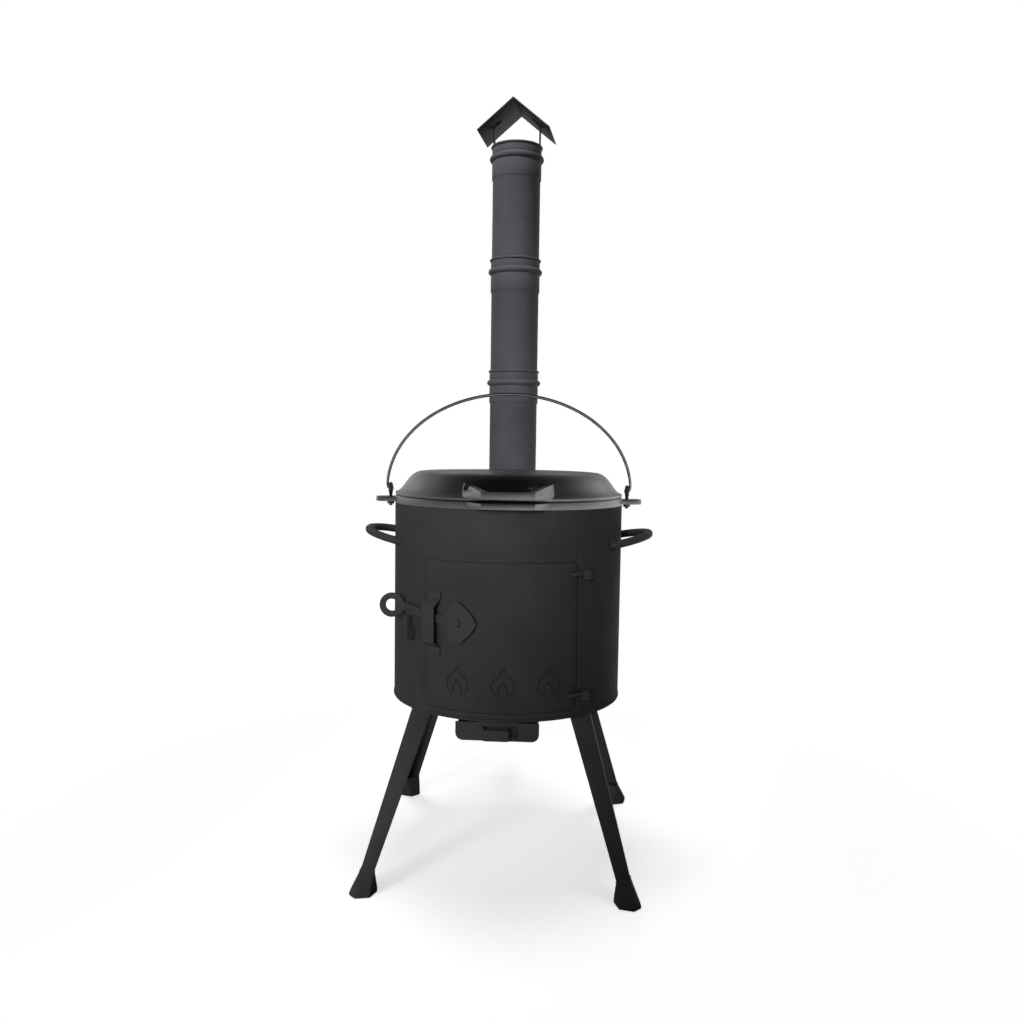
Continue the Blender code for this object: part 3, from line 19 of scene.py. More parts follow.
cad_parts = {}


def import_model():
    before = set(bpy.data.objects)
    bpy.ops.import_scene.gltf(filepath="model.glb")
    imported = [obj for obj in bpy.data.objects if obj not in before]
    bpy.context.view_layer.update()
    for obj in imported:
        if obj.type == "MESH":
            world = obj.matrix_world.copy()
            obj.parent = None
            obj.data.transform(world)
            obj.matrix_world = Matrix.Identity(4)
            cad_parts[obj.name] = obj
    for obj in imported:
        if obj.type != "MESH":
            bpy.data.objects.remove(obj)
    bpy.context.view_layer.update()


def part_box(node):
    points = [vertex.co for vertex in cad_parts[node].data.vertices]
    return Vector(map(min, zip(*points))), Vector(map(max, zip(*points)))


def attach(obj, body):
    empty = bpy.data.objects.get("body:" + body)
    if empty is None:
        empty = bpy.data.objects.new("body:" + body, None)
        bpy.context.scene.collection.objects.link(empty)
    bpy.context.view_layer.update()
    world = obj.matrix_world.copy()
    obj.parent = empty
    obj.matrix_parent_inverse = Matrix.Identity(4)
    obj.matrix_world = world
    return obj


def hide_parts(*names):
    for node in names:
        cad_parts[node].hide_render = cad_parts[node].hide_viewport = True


LOG = logging.getLogger("cauldron_stove")

MM = 0.001
ROUNDED_FROM = 32.0  # degrees: sharper edges than this are rounded
SMOOTH_UP_TO = 35.0  # degrees: blunter edges than this are shaded smooth
FLAT_UP_TO = 0.6  # degrees: flatter neighbours than this become one face
MERGED = 0.01 * MM  # corners of one node that are nearer than this become one
MERGED_RINGS = 0.005 * MM  # the same for the rings of a turned piece
SAME_PLACE = 0.1 * MM  # corners nearer than this count as one
DROP_SIZES = (0.85, 1.12)  # smallest and largest drop of a weld bead, in shares of its radius
BEAD_GRAIN = 0.36  # size of a weld bead's faces, in shares of its radius

Point = tuple[float, float, float]
FlatPoint = tuple[float, float]
Colour = tuple[float, float, float, float]
Stops = Sequence[tuple[float, object]]
Piece = bpy.types.Object
Tree = bpy.types.NodeTree
Socket = bpy.types.NodeSocket


class Body(str, Enum):
    """The frame's moving bodies."""

    STOVE = "stove"
    DOOR = "door"
    LATCH = "latch"
    DRAWER = "ash_drawer"
    GRATE = "grate"
    CAULDRON = "cauldron"
    LID = "lid"
    BAIL = "bail"
    PIPE_1 = "chimney_lower"
    PIPE_2 = "chimney_middle"
    PIPE_3 = "chimney_upper"
    CAP = "rain_cap"


class Slot(str, Enum):
    """The record's material slots."""

    PAINT = "heat_paint"
    CAST = "cast_aluminium"
    PIPE = "pipe_steel"
    PLATED = "zinc_steel"
    IRON = "grate_iron"
    SHEET = "ash_sheet"


# ---- colour and nodes


def linear(code: str) -> Colour:
    """Turn an sRGB hex colour into linear light.

    Args:
        code: six hex digits with a leading hash.

    Returns:
        Red, green and blue in linear light, and an alpha of one.
    """
    channels = (int(code[i:i + 2], 16) / 255 for i in (1, 3, 5))
    red, green, blue = (c / 12.92 if c <= 0.04045 else ((c + 0.055) / 1.055) ** 2.4
                        for c in channels)
    return red, green, blue, 1.0


def add_node(tree: Tree, kind: str, values: dict | None = None,
             **settings: object) -> bpy.types.Node:
    """Add a node, set it up and link it.

    Args:
        tree: the node tree that gets the node.
        kind: the node's type.
        values: input name or number to a value, or to an output socket that is linked to it.
        **settings: the node's own properties.

    Returns:
        The new node.
    """
    node = tree.nodes.new(kind)
    for key, value in settings.items():
        setattr(node, key, value)
    for key, value in (values or {}).items():
        if isinstance(value, Socket):
            tree.links.new(value, node.inputs[key])
        else:
            node.inputs[key].default_value = value
    return node


def ramp(tree: Tree, factor: Socket, stops: Stops) -> Socket:
    """Add a colour ramp.

    Args:
        tree: the node tree.
        factor: the socket that drives the ramp.
        stops: pairs of a place and a hex colour or a grey level.

    Returns:
        The ramp's colour.
    """
    node = add_node(tree, "ShaderNodeValToRGB", {"Fac": factor})
    elements = node.color_ramp.elements
    while len(elements) < len(stops):
        elements.new(0.5)
    for element, (place, tone) in zip(elements, stops):
        element.position = place
        element.color = linear(tone) if isinstance(tone, str) else (tone, tone, tone, 1.0)
    return node.outputs["Color"]


def mix(tree: Tree, factor: object, first: object, second: object, blend: str = "MIX") -> Socket:
    """Mix two colours.

    Args:
        tree: the node tree.
        factor: the second colour's share, as a number or a socket.
        first: a colour or a socket.
        second: a colour or a socket.
        blend: how the second is laid over the first.

    Returns:
        The mixed colour.
    """
    first_colour, second_colour, mixed = 6, 7, 2  # the numbers of the node's colour sockets
    node = add_node(tree, "ShaderNodeMix",
                    {"Factor": factor, first_colour: first, second_colour: second},
                    data_type="RGBA", blend_type=blend)
    return node.outputs[mixed]


def remap(tree: Tree, value: Socket, source: FlatPoint, target: FlatPoint = (0.0, 1.0),
          curve: str = "LINEAR") -> Socket:
    """Map a socket's value from the source range to the target range, along a curve."""
    return add_node(tree, "ShaderNodeMapRange", {
        "Value": value, "From Min": source[0], "From Max": source[1],
        "To Min": target[0], "To Max": target[1]}, interpolation_type=curve).outputs["Result"]


def combine(tree: Tree, operation: str, first: object, second: object) -> Socket:
    """Work out one value from two, which are numbers or sockets."""
    values = {0: first, 1: second}
    return add_node(tree, "ShaderNodeMath", values, operation=operation).outputs["Value"]


def noise(tree: Tree, place: Socket, size_mm: float, detail: float,
          roughness: float = 0.5) -> Socket:
    """Return the level of a noise whose features measure size_mm, in coordinates in metres."""
    values = {"Vector": place, "Scale": 1.0 / (size_mm * MM), "Detail": detail,
              "Roughness": roughness}
    return add_node(tree, "ShaderNodeTexNoise", values).outputs["Fac"]


def white_glow(tree: Tree, strength: Socket) -> Socket:
    """Add a white emission of the given strength."""
    values = {"Color": linear("#ffffff"), "Strength": strength}
    return add_node(tree, "ShaderNodeEmission", values).outputs["Emission"]


# ---- finishes


@dataclass(frozen=True)
class Finish:
    """A metal surface with a coat, cast skin or plating.

    Attributes:
        name: the material's name.
        base: main colour, sRGB hex.
        patch: colour of the broad, faint patches.
        roughness: lowest and highest roughness.
        grain_mm: size of one grain of the skin.
        grain_depth_mm: height of the grain.
        metallic: how metallic the surface is.
        specular: level of the surface's gloss.
        patch_mm: size of the broad patches.
        wave_mm: length of the faint waves in the sheet or casting.
        wave_depth_mm: height of those waves.
        stretch: how the grain is drawn out along X, Y and Z.
        patch_levels: the noise levels of the two colours.
        gloss_levels: the noise levels of the lowest and highest roughness.
        grain_shades: noise level and brightness of the grain's hollows and tops.
    """

    name: str
    base: str
    patch: str
    roughness: FlatPoint
    grain_mm: float
    grain_depth_mm: float = 0.0
    metallic: float = 0.0
    specular: float = 0.5
    patch_mm: float = 70.0
    wave_mm: float = 90.0
    wave_depth_mm: float = 0.0
    stretch: Point = (1.0, 1.0, 1.0)
    patch_levels: FlatPoint = (0.35, 0.68)
    gloss_levels: FlatPoint = (0.3, 0.7)
    grain_shades: tuple[FlatPoint, ...] = ((0.3, 0.86), (0.7, 1.0))

    def material(self) -> bpy.types.Material:
        """Build the material, or return it if it is there already.

        Returns:
            The finish's node material.
        """
        known = bpy.data.materials.get(self.name)
        if known:
            return known
        material = bpy.data.materials.new(self.name)
        material.use_nodes = True
        tree = material.node_tree
        shader = tree.nodes["Principled BSDF"]
        place = add_node(tree, "ShaderNodeTexCoord").outputs["Object"]
        drawn = add_node(tree, "ShaderNodeMapping", {"Vector": place, "Scale": self.stretch})
        patches = noise(tree, place, self.patch_mm, detail=4.0, roughness=0.6)
        grain = noise(tree, drawn.outputs["Vector"], self.grain_mm, detail=2.0, roughness=0.55)
        tone = ramp(tree, patches, tuple(zip(self.patch_levels, (self.base, self.patch))))
        shade = ramp(tree, grain, self.grain_shades)
        colour = mix(tree, 1.0, tone, shade, "MULTIPLY")
        gloss = remap(tree, patches, self.gloss_levels, self.roughness)
        tree.links.new(colour, shader.inputs["Base Color"])
        tree.links.new(gloss, shader.inputs["Roughness"])
        shader.inputs["Metallic"].default_value = self.metallic
        shader.inputs["Specular IOR Level"].default_value = self.specular
        self._relief(tree, shader, place, grain)
        return material

    def _relief(self, tree: Tree, shader: bpy.types.Node, place: Socket, grain: Socket) -> None:
        """Add the waves of the sheet or casting, and the grain of its skin.

        Args:
            tree: the material's node tree.
            shader: the surface shader.
            place: the object coordinates.
            grain: the grain's noise.
        """
        waves = noise(tree, place, self.wave_mm, detail=1.0)
        broad = add_node(tree, "ShaderNodeBump", {
            "Height": waves, "Distance": self.wave_depth_mm * MM, "Strength": 1.0})
        fine = add_node(tree, "ShaderNodeBump", {
            "Height": grain, "Distance": self.grain_depth_mm * MM, "Strength": 1.0,
            "Normal": broad.outputs["Normal"]})
        tree.links.new(fine.outputs["Normal"], shader.inputs["Normal"])


# Silicone heat paint on rolled steel: dead matt, with a soft grey sheen and a grain like fine
# paper. The rolled sheet is a little uneven, so its sheen wavers.
HEAT_PAINT = Finish(
    "heat_paint_on_rolled_steel", "#303032", "#363537", roughness=(0.64, 0.74), grain_mm=1.3,
    grain_depth_mm=0.14, specular=0.1, wave_mm=160.0, wave_depth_mm=0.25)
# The same paint on flat bars, angles and fittings: a little smoother.
PAINTED_BAR = Finish(
    "heat_paint_on_flat_bar", "#323234", "#383739", roughness=(0.56, 0.66), grain_mm=1.0,
    grain_depth_mm=0.07, specular=0.2)
# Sand-cast aluminium, blackened: satin metal with an even pebble of about a millimetre.
CAST_SKIN = Finish(
    "blackened_cast_aluminium", "#959493", "#8a8988", roughness=(0.34, 0.42), grain_mm=1.1,
    grain_depth_mm=0.05, metallic=1.0, wave_mm=120.0, wave_depth_mm=0.15)
# Enamelled stove pipe: cooler and a little glossier than the stove's paint, with its grain drawn
# out along the pipe.
PIPE_ENAMEL = Finish(
    "enamelled_stove_pipe", "#49494d", "#515056", roughness=(0.46, 0.56), grain_mm=1.4,
    grain_depth_mm=0.06, specular=0.12, wave_mm=110.0, wave_depth_mm=0.12,
    stretch=(1.0, 1.0, 0.35))
# Dark plated steel of the eye bolts and their nuts.
PLATED_STEEL = Finish(
    "dark_plated_steel", "#67686a", "#58595b", roughness=(0.34, 0.46), grain_mm=0.6,
    metallic=0.9)
# Bright drawn wire for the bail.
BRIGHT_WIRE = Finish(
    "bright_drawn_wire", "#c2c3c4", "#b4b5b6", roughness=(0.30, 0.38), grain_mm=0.6,
    metallic=1.0)
# Grey cast iron, as it comes from the sand.
GREY_IRON = Finish(
    "grey_cast_iron", "#2d2b2a", "#35312e", roughness=(0.70, 0.85), grain_mm=1.6,
    grain_depth_mm=0.22, metallic=0.3, specular=0.4)
# Painted thin sheet for the tray.
TRAY_SHEET = Finish(
    "painted_tray_sheet", "#2c2d2f", "#323335", roughness=(0.50, 0.62), grain_mm=1.0,
    grain_depth_mm=0.04, specular=0.4)
# Weld metal under the paint: the same black, but smoother and brighter on its ripples.
WELD_METAL = Finish(
    "painted_weld_bead", "#38383b", "#414144", roughness=(0.40, 0.52), grain_mm=0.8,
    grain_depth_mm=0.06, metallic=0.1)
# A line burnt into the paint by a laser: a shade darker than the door.
BURNT_LINE = Finish(
    "burnt_line", "#141415", "#19191a", roughness=(0.62, 0.72), grain_mm=0.7,
    grain_depth_mm=0.03, specular=0.2)


# ---- bench: modelling by operators


class Bench:
    """The operations that shape a piece."""

    @staticmethod
    def clear() -> None:
        """Deselect everything and leave edit mode."""
        if bpy.context.object and bpy.context.object.mode != "OBJECT":
            bpy.ops.object.mode_set(mode="OBJECT")
        bpy.ops.object.select_all(action="DESELECT")

    @staticmethod
    def take(piece: Piece) -> None:
        """Select one piece and make it active."""
        Bench.clear()
        piece.select_set(True)
        bpy.context.view_layer.objects.active = piece

    @staticmethod
    def settle(piece: Piece, name: str) -> Piece:
        """Name a piece and put its place into its mesh.

        Args:
            piece: the piece in hand.
            name: its name.

        Returns:
            The piece, at the origin, unturned and unscaled.
        """
        piece.name = name
        piece.data.name = name
        Bench.take(piece)
        bpy.ops.object.transform_apply(location=True, rotation=True, scale=True)
        return piece

    @staticmethod
    def modify(piece: Piece, kind: str, **settings: object) -> None:
        """Put a modifier on a piece and apply it.

        Args:
            piece: the piece, which stays selected.
            kind: the modifier's type.
            **settings: the modifier's own properties.
        """
        Bench.take(piece)
        modifier = piece.modifiers.new(kind.lower(), kind)
        for key, value in settings.items():
            setattr(modifier, key, value)
        bpy.ops.object.modifier_apply(modifier=modifier.name)

    @staticmethod
    def bevel(piece: Piece, width: float, segments: int) -> None:
        """Round the sharp edges over the given width, with that many faces across."""
        Bench.modify(piece, "BEVEL", width=width, segments=segments, limit_method="ANGLE",
                     angle_limit=math.radians(ROUNDED_FROM), use_clamp_overlap=True,
                     miter_outer="MITER_ARC")

    @staticmethod
    def smooth(piece: Piece, angle: float = SMOOTH_UP_TO) -> None:
        """Shade smooth, but not over edges sharper than the angle in degrees."""
        Bench.take(piece)
        bpy.ops.object.shade_smooth_by_angle(angle=math.radians(angle))

    @staticmethod
    def copy_of(node: str, rounding: float = 0.0, segments: int = 2,
                shade: float = SMOOTH_UP_TO, joined: bool = True) -> Piece:
        """Copy a frame node, merge its loose triangles and round its edges.

        Args:
            node: the frame node.
            rounding: width of the rounded edges.
            segments: how many faces cross each rounded edge.
            shade: edges blunter than this many degrees are shaded smooth.
            joined: whether flat neighbours become one face.

        Returns:
            The finer copy, at the node's own place.
        """
        source = bpy.data.objects[node]
        piece = bpy.data.objects.new(node + "_dressed", source.data.copy())
        bpy.context.scene.collection.objects.link(piece)
        piece.data.materials.clear()
        Bench.take(piece)
        bpy.ops.object.mode_set(mode="EDIT")
        bpy.ops.mesh.select_all(action="SELECT")
        bpy.ops.mesh.remove_doubles(threshold=MERGED)
        if joined:
            bpy.ops.mesh.dissolve_limited(angle_limit=math.radians(FLAT_UP_TO))
        bpy.ops.object.mode_set(mode="OBJECT")
        if rounding:
            Bench.bevel(piece, rounding, segments)
        Bench.smooth(piece, shade)
        return piece

    @staticmethod
    def carve(piece: Piece, cutter: Piece) -> None:
        """Cut the cutter out of the piece and throw the cutter away."""
        Bench.modify(piece, "BOOLEAN", operation="DIFFERENCE", solver="EXACT", object=cutter)
        bpy.data.objects.remove(cutter)

    @staticmethod
    def forge(piece: Piece, grain: float, rounds: int) -> Piece:
        """Soften a piece's facets into the shape of a hot forging.

        Args:
            piece: the faceted piece.
            grain: size of the new faces.
            rounds: how often the corners are softened.

        Returns:
            The same piece.
        """
        Bench.modify(piece, "REMESH", mode="VOXEL", voxel_size=grain)
        Bench.modify(piece, "SMOOTH", factor=0.5, iterations=rounds)
        bpy.ops.object.shade_smooth()
        return piece

    @staticmethod
    def turned(name: str, profile: Sequence[FlatPoint], centre: FlatPoint, steps: int) -> Piece:
        """Turn a closed profile round an upright axis, ring by ring.

        Args:
            name: the piece's name.
            profile: the points of the loop, each a radius and a height.
            centre: where the axis stands.
            steps: how many faces go round.

        Returns:
            The closed turned piece.
        """
        Bench.clear()
        radius, height = profile[0]
        bpy.ops.mesh.primitive_circle_add(vertices=steps, radius=radius,
                                          location=(*centre, height), fill_type="NOTHING")
        piece = bpy.context.object
        bpy.ops.object.mode_set(mode="EDIT")
        bpy.ops.mesh.select_all(action="SELECT")
        for next_radius, next_height in (*profile[1:], profile[0]):
            rise = (0.0, 0.0, next_height - height)
            bpy.ops.mesh.extrude_region_move(TRANSFORM_OT_translate={"value": rise})
            share = next_radius / radius
            bpy.ops.transform.resize(value=(share, share, 1.0),
                                     center_override=(*centre, next_height))
            radius, height = next_radius, next_height
        bpy.ops.mesh.select_all(action="SELECT")
        bpy.ops.mesh.remove_doubles(threshold=MERGED_RINGS)
        bpy.ops.mesh.normals_make_consistent(inside=False)
        bpy.ops.object.mode_set(mode="OBJECT")
        return Bench.settle(piece, name)

    @staticmethod
    def weld(name: str, path: Sequence[Vector], radius: float, seed: int) -> Piece:
        """Lay a weld bead of overlapping drops along a path.

        Args:
            name: the bead's name.
            path: the places of the drops.
            radius: the drops' radius.
            seed: makes the drops uneven in the same way each time.

        Returns:
            One closed body.
        """
        chance = random.Random(seed)
        drops = []
        for place in path:
            Bench.clear()
            size = radius * chance.uniform(*DROP_SIZES)
            bpy.ops.mesh.primitive_ico_sphere_add(subdivisions=2, radius=size, location=place)
            drops.append(bpy.context.object)
        Bench.clear()
        for drop in drops:
            drop.select_set(True)
        bpy.context.view_layer.objects.active = drops[0]
        bpy.ops.object.join()
        bead = bpy.context.object
        Bench.modify(bead, "REMESH", mode="VOXEL", voxel_size=radius * BEAD_GRAIN)
        bpy.ops.object.shade_smooth()
        return Bench.settle(bead, name)


def dress(piece: Piece, body: Body, finish: Finish, slot: Slot, *nodes: str) -> None:
    """Give a piece its finish, hang it on its body and let it stand for frame nodes.

    Args:
        piece: the finished piece.
        body: the frame body that carries it.
        finish: its finish.
        slot: the record's material slot; not used.
        *nodes: the frame nodes that it replaces.
    """
    piece.data.materials.clear()
    piece.data.materials.append(finish.material())
    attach(piece, body.value)
    if nodes:
        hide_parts(*nodes)
    LOG.info("%s: %d faces on %s", piece.name, len(piece.data.polygons), body.value)


def dress_nodes(nodes: Sequence[str], edge: float, body: Body, finish: Finish, slot: Slot) -> None:
    """Dress frame nodes that keep their shape and only get rounded edges.

    Args:
        nodes: the frame nodes.
        edge: width of their rounded edges.
        body: the frame body that carries them.
        finish: their finish.
        slot: the record's material slot.
    """
    for node in nodes:
        dress(Bench.copy_of(node, edge), body, finish, slot, node)


def middle(node: str) -> Vector:
    """Return the middle of a frame node's box."""
    low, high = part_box(node)
    return (Vector(low) + Vector(high)) / 2


def drum_axis() -> FlatPoint:
    """Return X and Y of the drum's middle line."""
    return tuple(middle("stove_body").xy)


def corners_at(node: str, upper: bool) -> list[Vector]:
    """Return a frame node's separate corners at its highest or lowest level.

    Args:
        node: the frame node.
        upper: the highest level, or else the lowest.

    Returns:
        The corners, without repeats.
    """
    low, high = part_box(node)
    level = high[2] if upper else low[2]
    found: list[Vector] = []
    for vertex in bpy.data.objects[node].data.vertices:
        near = abs(vertex.co.z - level) < SAME_PLACE
        if near and all((vertex.co - other).length > SAME_PLACE for other in found):
            found.append(vertex.co.copy())
    return found


def spaced(path: Sequence[Vector], step: float) -> list[Vector]:
    """Return places along a path at even steps.

    Args:
        path: the path's corners.
        step: the distance between two places.

    Returns:
        The places, with both ends.
    """
    places = [path[0]]
    for start, end in zip(path, path[1:]):
        count = max(1, round((end - start).length / step))
        places += [start.lerp(end, (i + 1) / count) for i in range(count)]
    return places


# ---- sub-assemblies


@dataclass
class SteelBody:
    """The rolled firebox, its floor, handles, legs and fixed fittings.

    Attributes:
        axis: the drum's middle line, X and Y.
        edge: rounding of sheared edges.
        bar_edge: rounding of thicker bars.
        sheet_edge: rounding of the wall's edges.
        foot_grain: size of the faces of the forged feet.
        foot_rounds: how far the feet's corners are softened.
        handle_bar: radius of the handles' bar.
        handle_shade: edges of the bar that are blunter than this many degrees look smooth.
        handle_root_rise: how far the bar's foot on the wall stands over its lowest point.
        ring_steps: corners of the bead round a handle's end.
        bead: radius of a weld bead.
        bead_step: distance between a bead's ripples.
        foot_seed, handle_seed, flue_seed: the first seed of each group of beads.
    """

    axis: FlatPoint = field(default_factory=drum_axis)
    edge: float = 0.5 * MM
    bar_edge: float = 0.8 * MM
    sheet_edge: float = 0.2 * MM
    foot_grain: float = 1.5 * MM
    foot_rounds: int = 14
    handle_bar: float = 7.0 * MM
    handle_shade: float = 75.0
    handle_root_rise: float = 2.2 * MM
    ring_steps: int = 12
    bead: float = 1.7 * MM
    bead_step: float = 2.2 * MM
    foot_seed: int = 10
    handle_seed: int = 20
    flue_seed: int = 30

    def build(self) -> None:
        """Make and dress every fixed steel piece."""
        self._sheets()
        self._legs()
        self._handles()
        self._fittings()
        self._flue_welds()

    def _bead(self, name: str, path: Sequence[Vector], seed: int) -> None:
        """Lay one weld bead on the body, along the corners of its path."""
        bead = Bench.weld(name, spaced(path, self.bead_step), self.bead, seed)
        dress(bead, Body.STOVE, WELD_METAL, Slot.PAINT)

    def _depth_at(self, across: float) -> float:
        """Return how far out the drum's wall stands, so far across from its middle plane."""
        low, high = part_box("stove_body")
        return math.sqrt(((high[0] - low[0]) / 2) ** 2 - across ** 2)

    def _sheets(self) -> None:
        """Dress the wall, the floor, the pot ring, the door frame and the flue."""
        dress_nodes(("stove_body",), self.sheet_edge, Body.STOVE, HEAT_PAINT, Slot.PAINT)
        dress_nodes(("bottom_plate", "pot_ring", "door_frame", "flue_box", "flue_collar"),
                    self.edge, Body.STOVE, HEAT_PAINT, Slot.PAINT)

    def _legs(self) -> None:
        """Dress the legs and feet, and weld each leg to the floor plate and to its foot."""
        for seed, corner in enumerate(("front_left", "front_right", "rear_left", "rear_right")):
            leg, foot = "leg_" + corner, "foot_" + corner
            dress_nodes((leg,), self.bar_edge, Body.STOVE, PAINTED_BAR, Slot.PAINT)
            forged = Bench.forge(Bench.copy_of(foot), self.foot_grain, self.foot_rounds)
            dress(forged, Body.STOVE, PAINTED_BAR, Slot.PAINT, foot)
            self._bead("weld_top_" + corner, self._outer_edge(corners_at(leg, True)), seed)
            self._bead("weld_foot_" + corner, self._outer_edge(corners_at(leg, False)),
                       seed + self.foot_seed)

    def _outer_edge(self, corners: Sequence[Vector]) -> list[Vector]:
        """Return the outer edge of a leg's angle section: one flange's end, apex, other end.

        Args:
            corners: the section's six corners.

        Returns:
            Three points of the outer edge.
        """
        axis = Vector((*self.axis, corners[0].z))
        apex = max(corners, key=lambda point: (point - axis).length)
        along_x = max((c for c in corners if abs(c.y - apex.y) < MM),
                      key=lambda c: abs(c.x - apex.x))
        along_y = max((c for c in corners if abs(c.x - apex.x) < MM),
                      key=lambda c: abs(c.y - apex.y))
        return [along_x, apex, along_y]

    def _handles(self) -> None:
        """Dress the two round-bar handles and weld their ends to the wall."""
        for number, (side, hand) in enumerate((("left", -1.0), ("right", 1.0))):
            node = "side_handle_" + side
            dress(Bench.copy_of(node, shade=self.handle_shade), Body.STOVE, PAINTED_BAR,
                  Slot.PAINT, node)
            low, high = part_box(node)
            level = low[2] + self.handle_bar + self.handle_root_rise
            for end, reach in (("front", low[1] + self.handle_bar),
                               ("rear", high[1] - self.handle_bar)):
                depth = reach - self.axis[1]
                out = Vector((hand * self._depth_at(depth), depth, 0.0))
                ring = self._ring(Vector((*self.axis, level)) + out, out)
                self._bead("weld_handle_%s_%s" % (side, end), ring, self.handle_seed + number)

    def _ring(self, root: Vector, out: Vector) -> list[Vector]:
        """Return a ring on the drum's wall, as wide as the handles' bar.

        Args:
            root: its middle.
            out: the direction that the wall faces there.

        Returns:
            The ring's corners, the first one again at the end.
        """
        along = Vector((-out.y, out.x, 0.0)).normalized()
        up = Vector((0.0, 0.0, 1.0))
        turns = [math.tau * step / self.ring_steps for step in range(self.ring_steps + 1)]
        return [root + (along * math.cos(turn) + up * math.sin(turn)) * self.handle_bar
                for turn in turns]

    def _fittings(self) -> None:
        """Dress the hinge eyes and pins, the latch keeper, the drawer's rails and the grate."""
        dress_nodes(("hinge_eye_upper", "hinge_eye_lower", "latch_keeper", "drawer_rail_left",
                     "drawer_rail_right"), self.edge, Body.STOVE, PAINTED_BAR, Slot.PAINT)
        dress_nodes(("hinge_pin_upper", "hinge_pin_lower"), self.edge, Body.STOVE, PAINTED_BAR,
                    Slot.PLATED)
        dress_nodes(("fire_grate",), self.bar_edge, Body.GRATE, GREY_IRON, Slot.IRON)

    def _flue_welds(self) -> None:
        """Weld the flue box to the wall along its two upright sides."""
        low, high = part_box("flue_box")
        for number, side in enumerate((low[0], high[0])):
            back = self.axis[1] + self._depth_at(side - self.axis[0])
            path = [Vector((side, back, low[2])), Vector((side, back, high[2]))]
            self._bead("weld_flue_%d" % (number + 1), path, self.flue_seed + number)


@dataclass
class FireDoor:
    """The curved door with its latch and its row of flame outlines.

    Attributes:
        axis: the drum's middle line, X and Y.
        drum_radius: radius of the door's outer face.
        edge: rounding of the fittings' edges.
        sheet_edge: rounding of the door's edges.
        flame_angles: where the flames stand round the drum, in degrees from the front.
        flame_low: height of the flames' feet.
        flame_height: height of a flame.
        flame_width: width of a flame.
        line: width of the burnt line.
        line_rise: how far the burnt line stands out of the paint.
        curve_steps: faces between two points of the outline.
        flame: one outline in shares of its width and height, from its tip round and back.
    """

    axis: FlatPoint = field(default_factory=drum_axis)
    drum_radius: float = 205 * MM
    edge: float = 0.5 * MM
    sheet_edge: float = 0.2 * MM
    flame_angles: tuple[float, ...] = (-19.2, 2.5, 23.8)
    flame_low: float = 334 * MM
    flame_height: float = 45 * MM
    flame_width: float = 39 * MM
    line: float = 1.5 * MM
    line_rise: float = 0.2 * MM
    curve_steps: int = 3
    flame: tuple[FlatPoint, ...] = (
        (0.00, 1.00), (-0.07, 0.86), (-0.20, 0.73), (-0.36, 0.60), (-0.47, 0.43), (-0.48, 0.24),
        (-0.40, 0.09), (-0.27, 0.01), (-0.18, 0.04), (-0.20, 0.17), (-0.15, 0.31), (-0.05, 0.42),
        (0.02, 0.49), (0.07, 0.38), (0.16, 0.28), (0.20, 0.15), (0.17, 0.04), (0.27, 0.01),
        (0.40, 0.10), (0.48, 0.25), (0.46, 0.42), (0.38, 0.57), (0.28, 0.68), (0.24, 0.60),
        (0.19, 0.71), (0.10, 0.84))

    def build(self) -> None:
        """Make and dress the door, its fittings and the latch."""
        dress_nodes(("door",), self.sheet_edge, Body.DOOR, HEAT_PAINT, Slot.PAINT)
        dress_nodes(("door_eye_upper", "door_eye_lower", "latch_guide"), self.edge, Body.DOOR,
                    PAINTED_BAR, Slot.PAINT)
        dress_nodes(("latch_bolt", "latch_nut"), self.edge, Body.DOOR, PAINTED_BAR, Slot.PLATED)
        dress_nodes(("latch_lever",), self.edge, Body.LATCH, PAINTED_BAR, Slot.PAINT)
        for number, angle in enumerate(self.flame_angles):
            line = self._flame_line("door_flame_%d" % (number + 1), math.radians(angle))
            dress(line, Body.DOOR, BURNT_LINE, Slot.PAINT)

    def _flame_line(self, name: str, angle: float) -> Piece:
        """Lay one burnt flame outline on the door.

        Args:
            name: the piece's name.
            angle: its place round the drum.

        Returns:
            A flat closed line that follows the door's face.
        """
        Bench.clear()
        bpy.ops.curve.primitive_bezier_circle_add(radius=1.0)
        outline = bpy.context.object
        curve = outline.data
        curve.splines.clear()
        spline = curve.splines.new("BEZIER")
        spline.bezier_points.add(len(self.flame) - 1)
        for target, (across, up) in zip(spline.bezier_points, self.flame):
            turn = angle + across * self.flame_width / self.drum_radius
            target.co = (self.axis[0] + self.drum_radius * math.sin(turn),
                         self.axis[1] - self.drum_radius * math.cos(turn),
                         self.flame_low + up * self.flame_height)
            target.handle_left_type = target.handle_right_type = "AUTO"
        spline.use_cyclic_u = True
        spline.resolution_u = self.curve_steps
        curve.bevel_depth = self.line / 2
        curve.bevel_resolution = 1
        Bench.take(outline)
        bpy.ops.object.convert(target="MESH")
        piece = bpy.context.object
        # The round line is pressed flat against the door's face.
        centre = Vector((*self.axis, 0.0))
        for vertex in piece.data.vertices:
            spoke = Vector((vertex.co.x, vertex.co.y, 0.0)) - centre
            proud = (spoke.length - self.drum_radius) / (self.line / 2)
            reach = self.drum_radius + self.line_rise * proud
            vertex.co = centre + spoke.normalized() * reach + Vector((0.0, 0.0, vertex.co.z))
        return Bench.settle(piece, name)


@dataclass
class AshDrawer:
    """The tray, its front and its strap handle.

    Attributes:
        edge: rounding of the front's and the handle's edges.
        tray_edge: rounding of the tray's edges.
    """

    edge: float = 0.6 * MM
    tray_edge: float = 0.3 * MM

    def build(self) -> None:
        """Dress the drawer."""
        dress_nodes(("ash_tray",), self.tray_edge, Body.DRAWER, TRAY_SHEET, Slot.SHEET)
        dress_nodes(("drawer_front", "drawer_handle"), self.edge, Body.DRAWER, PAINTED_BAR,
                    Slot.PAINT)


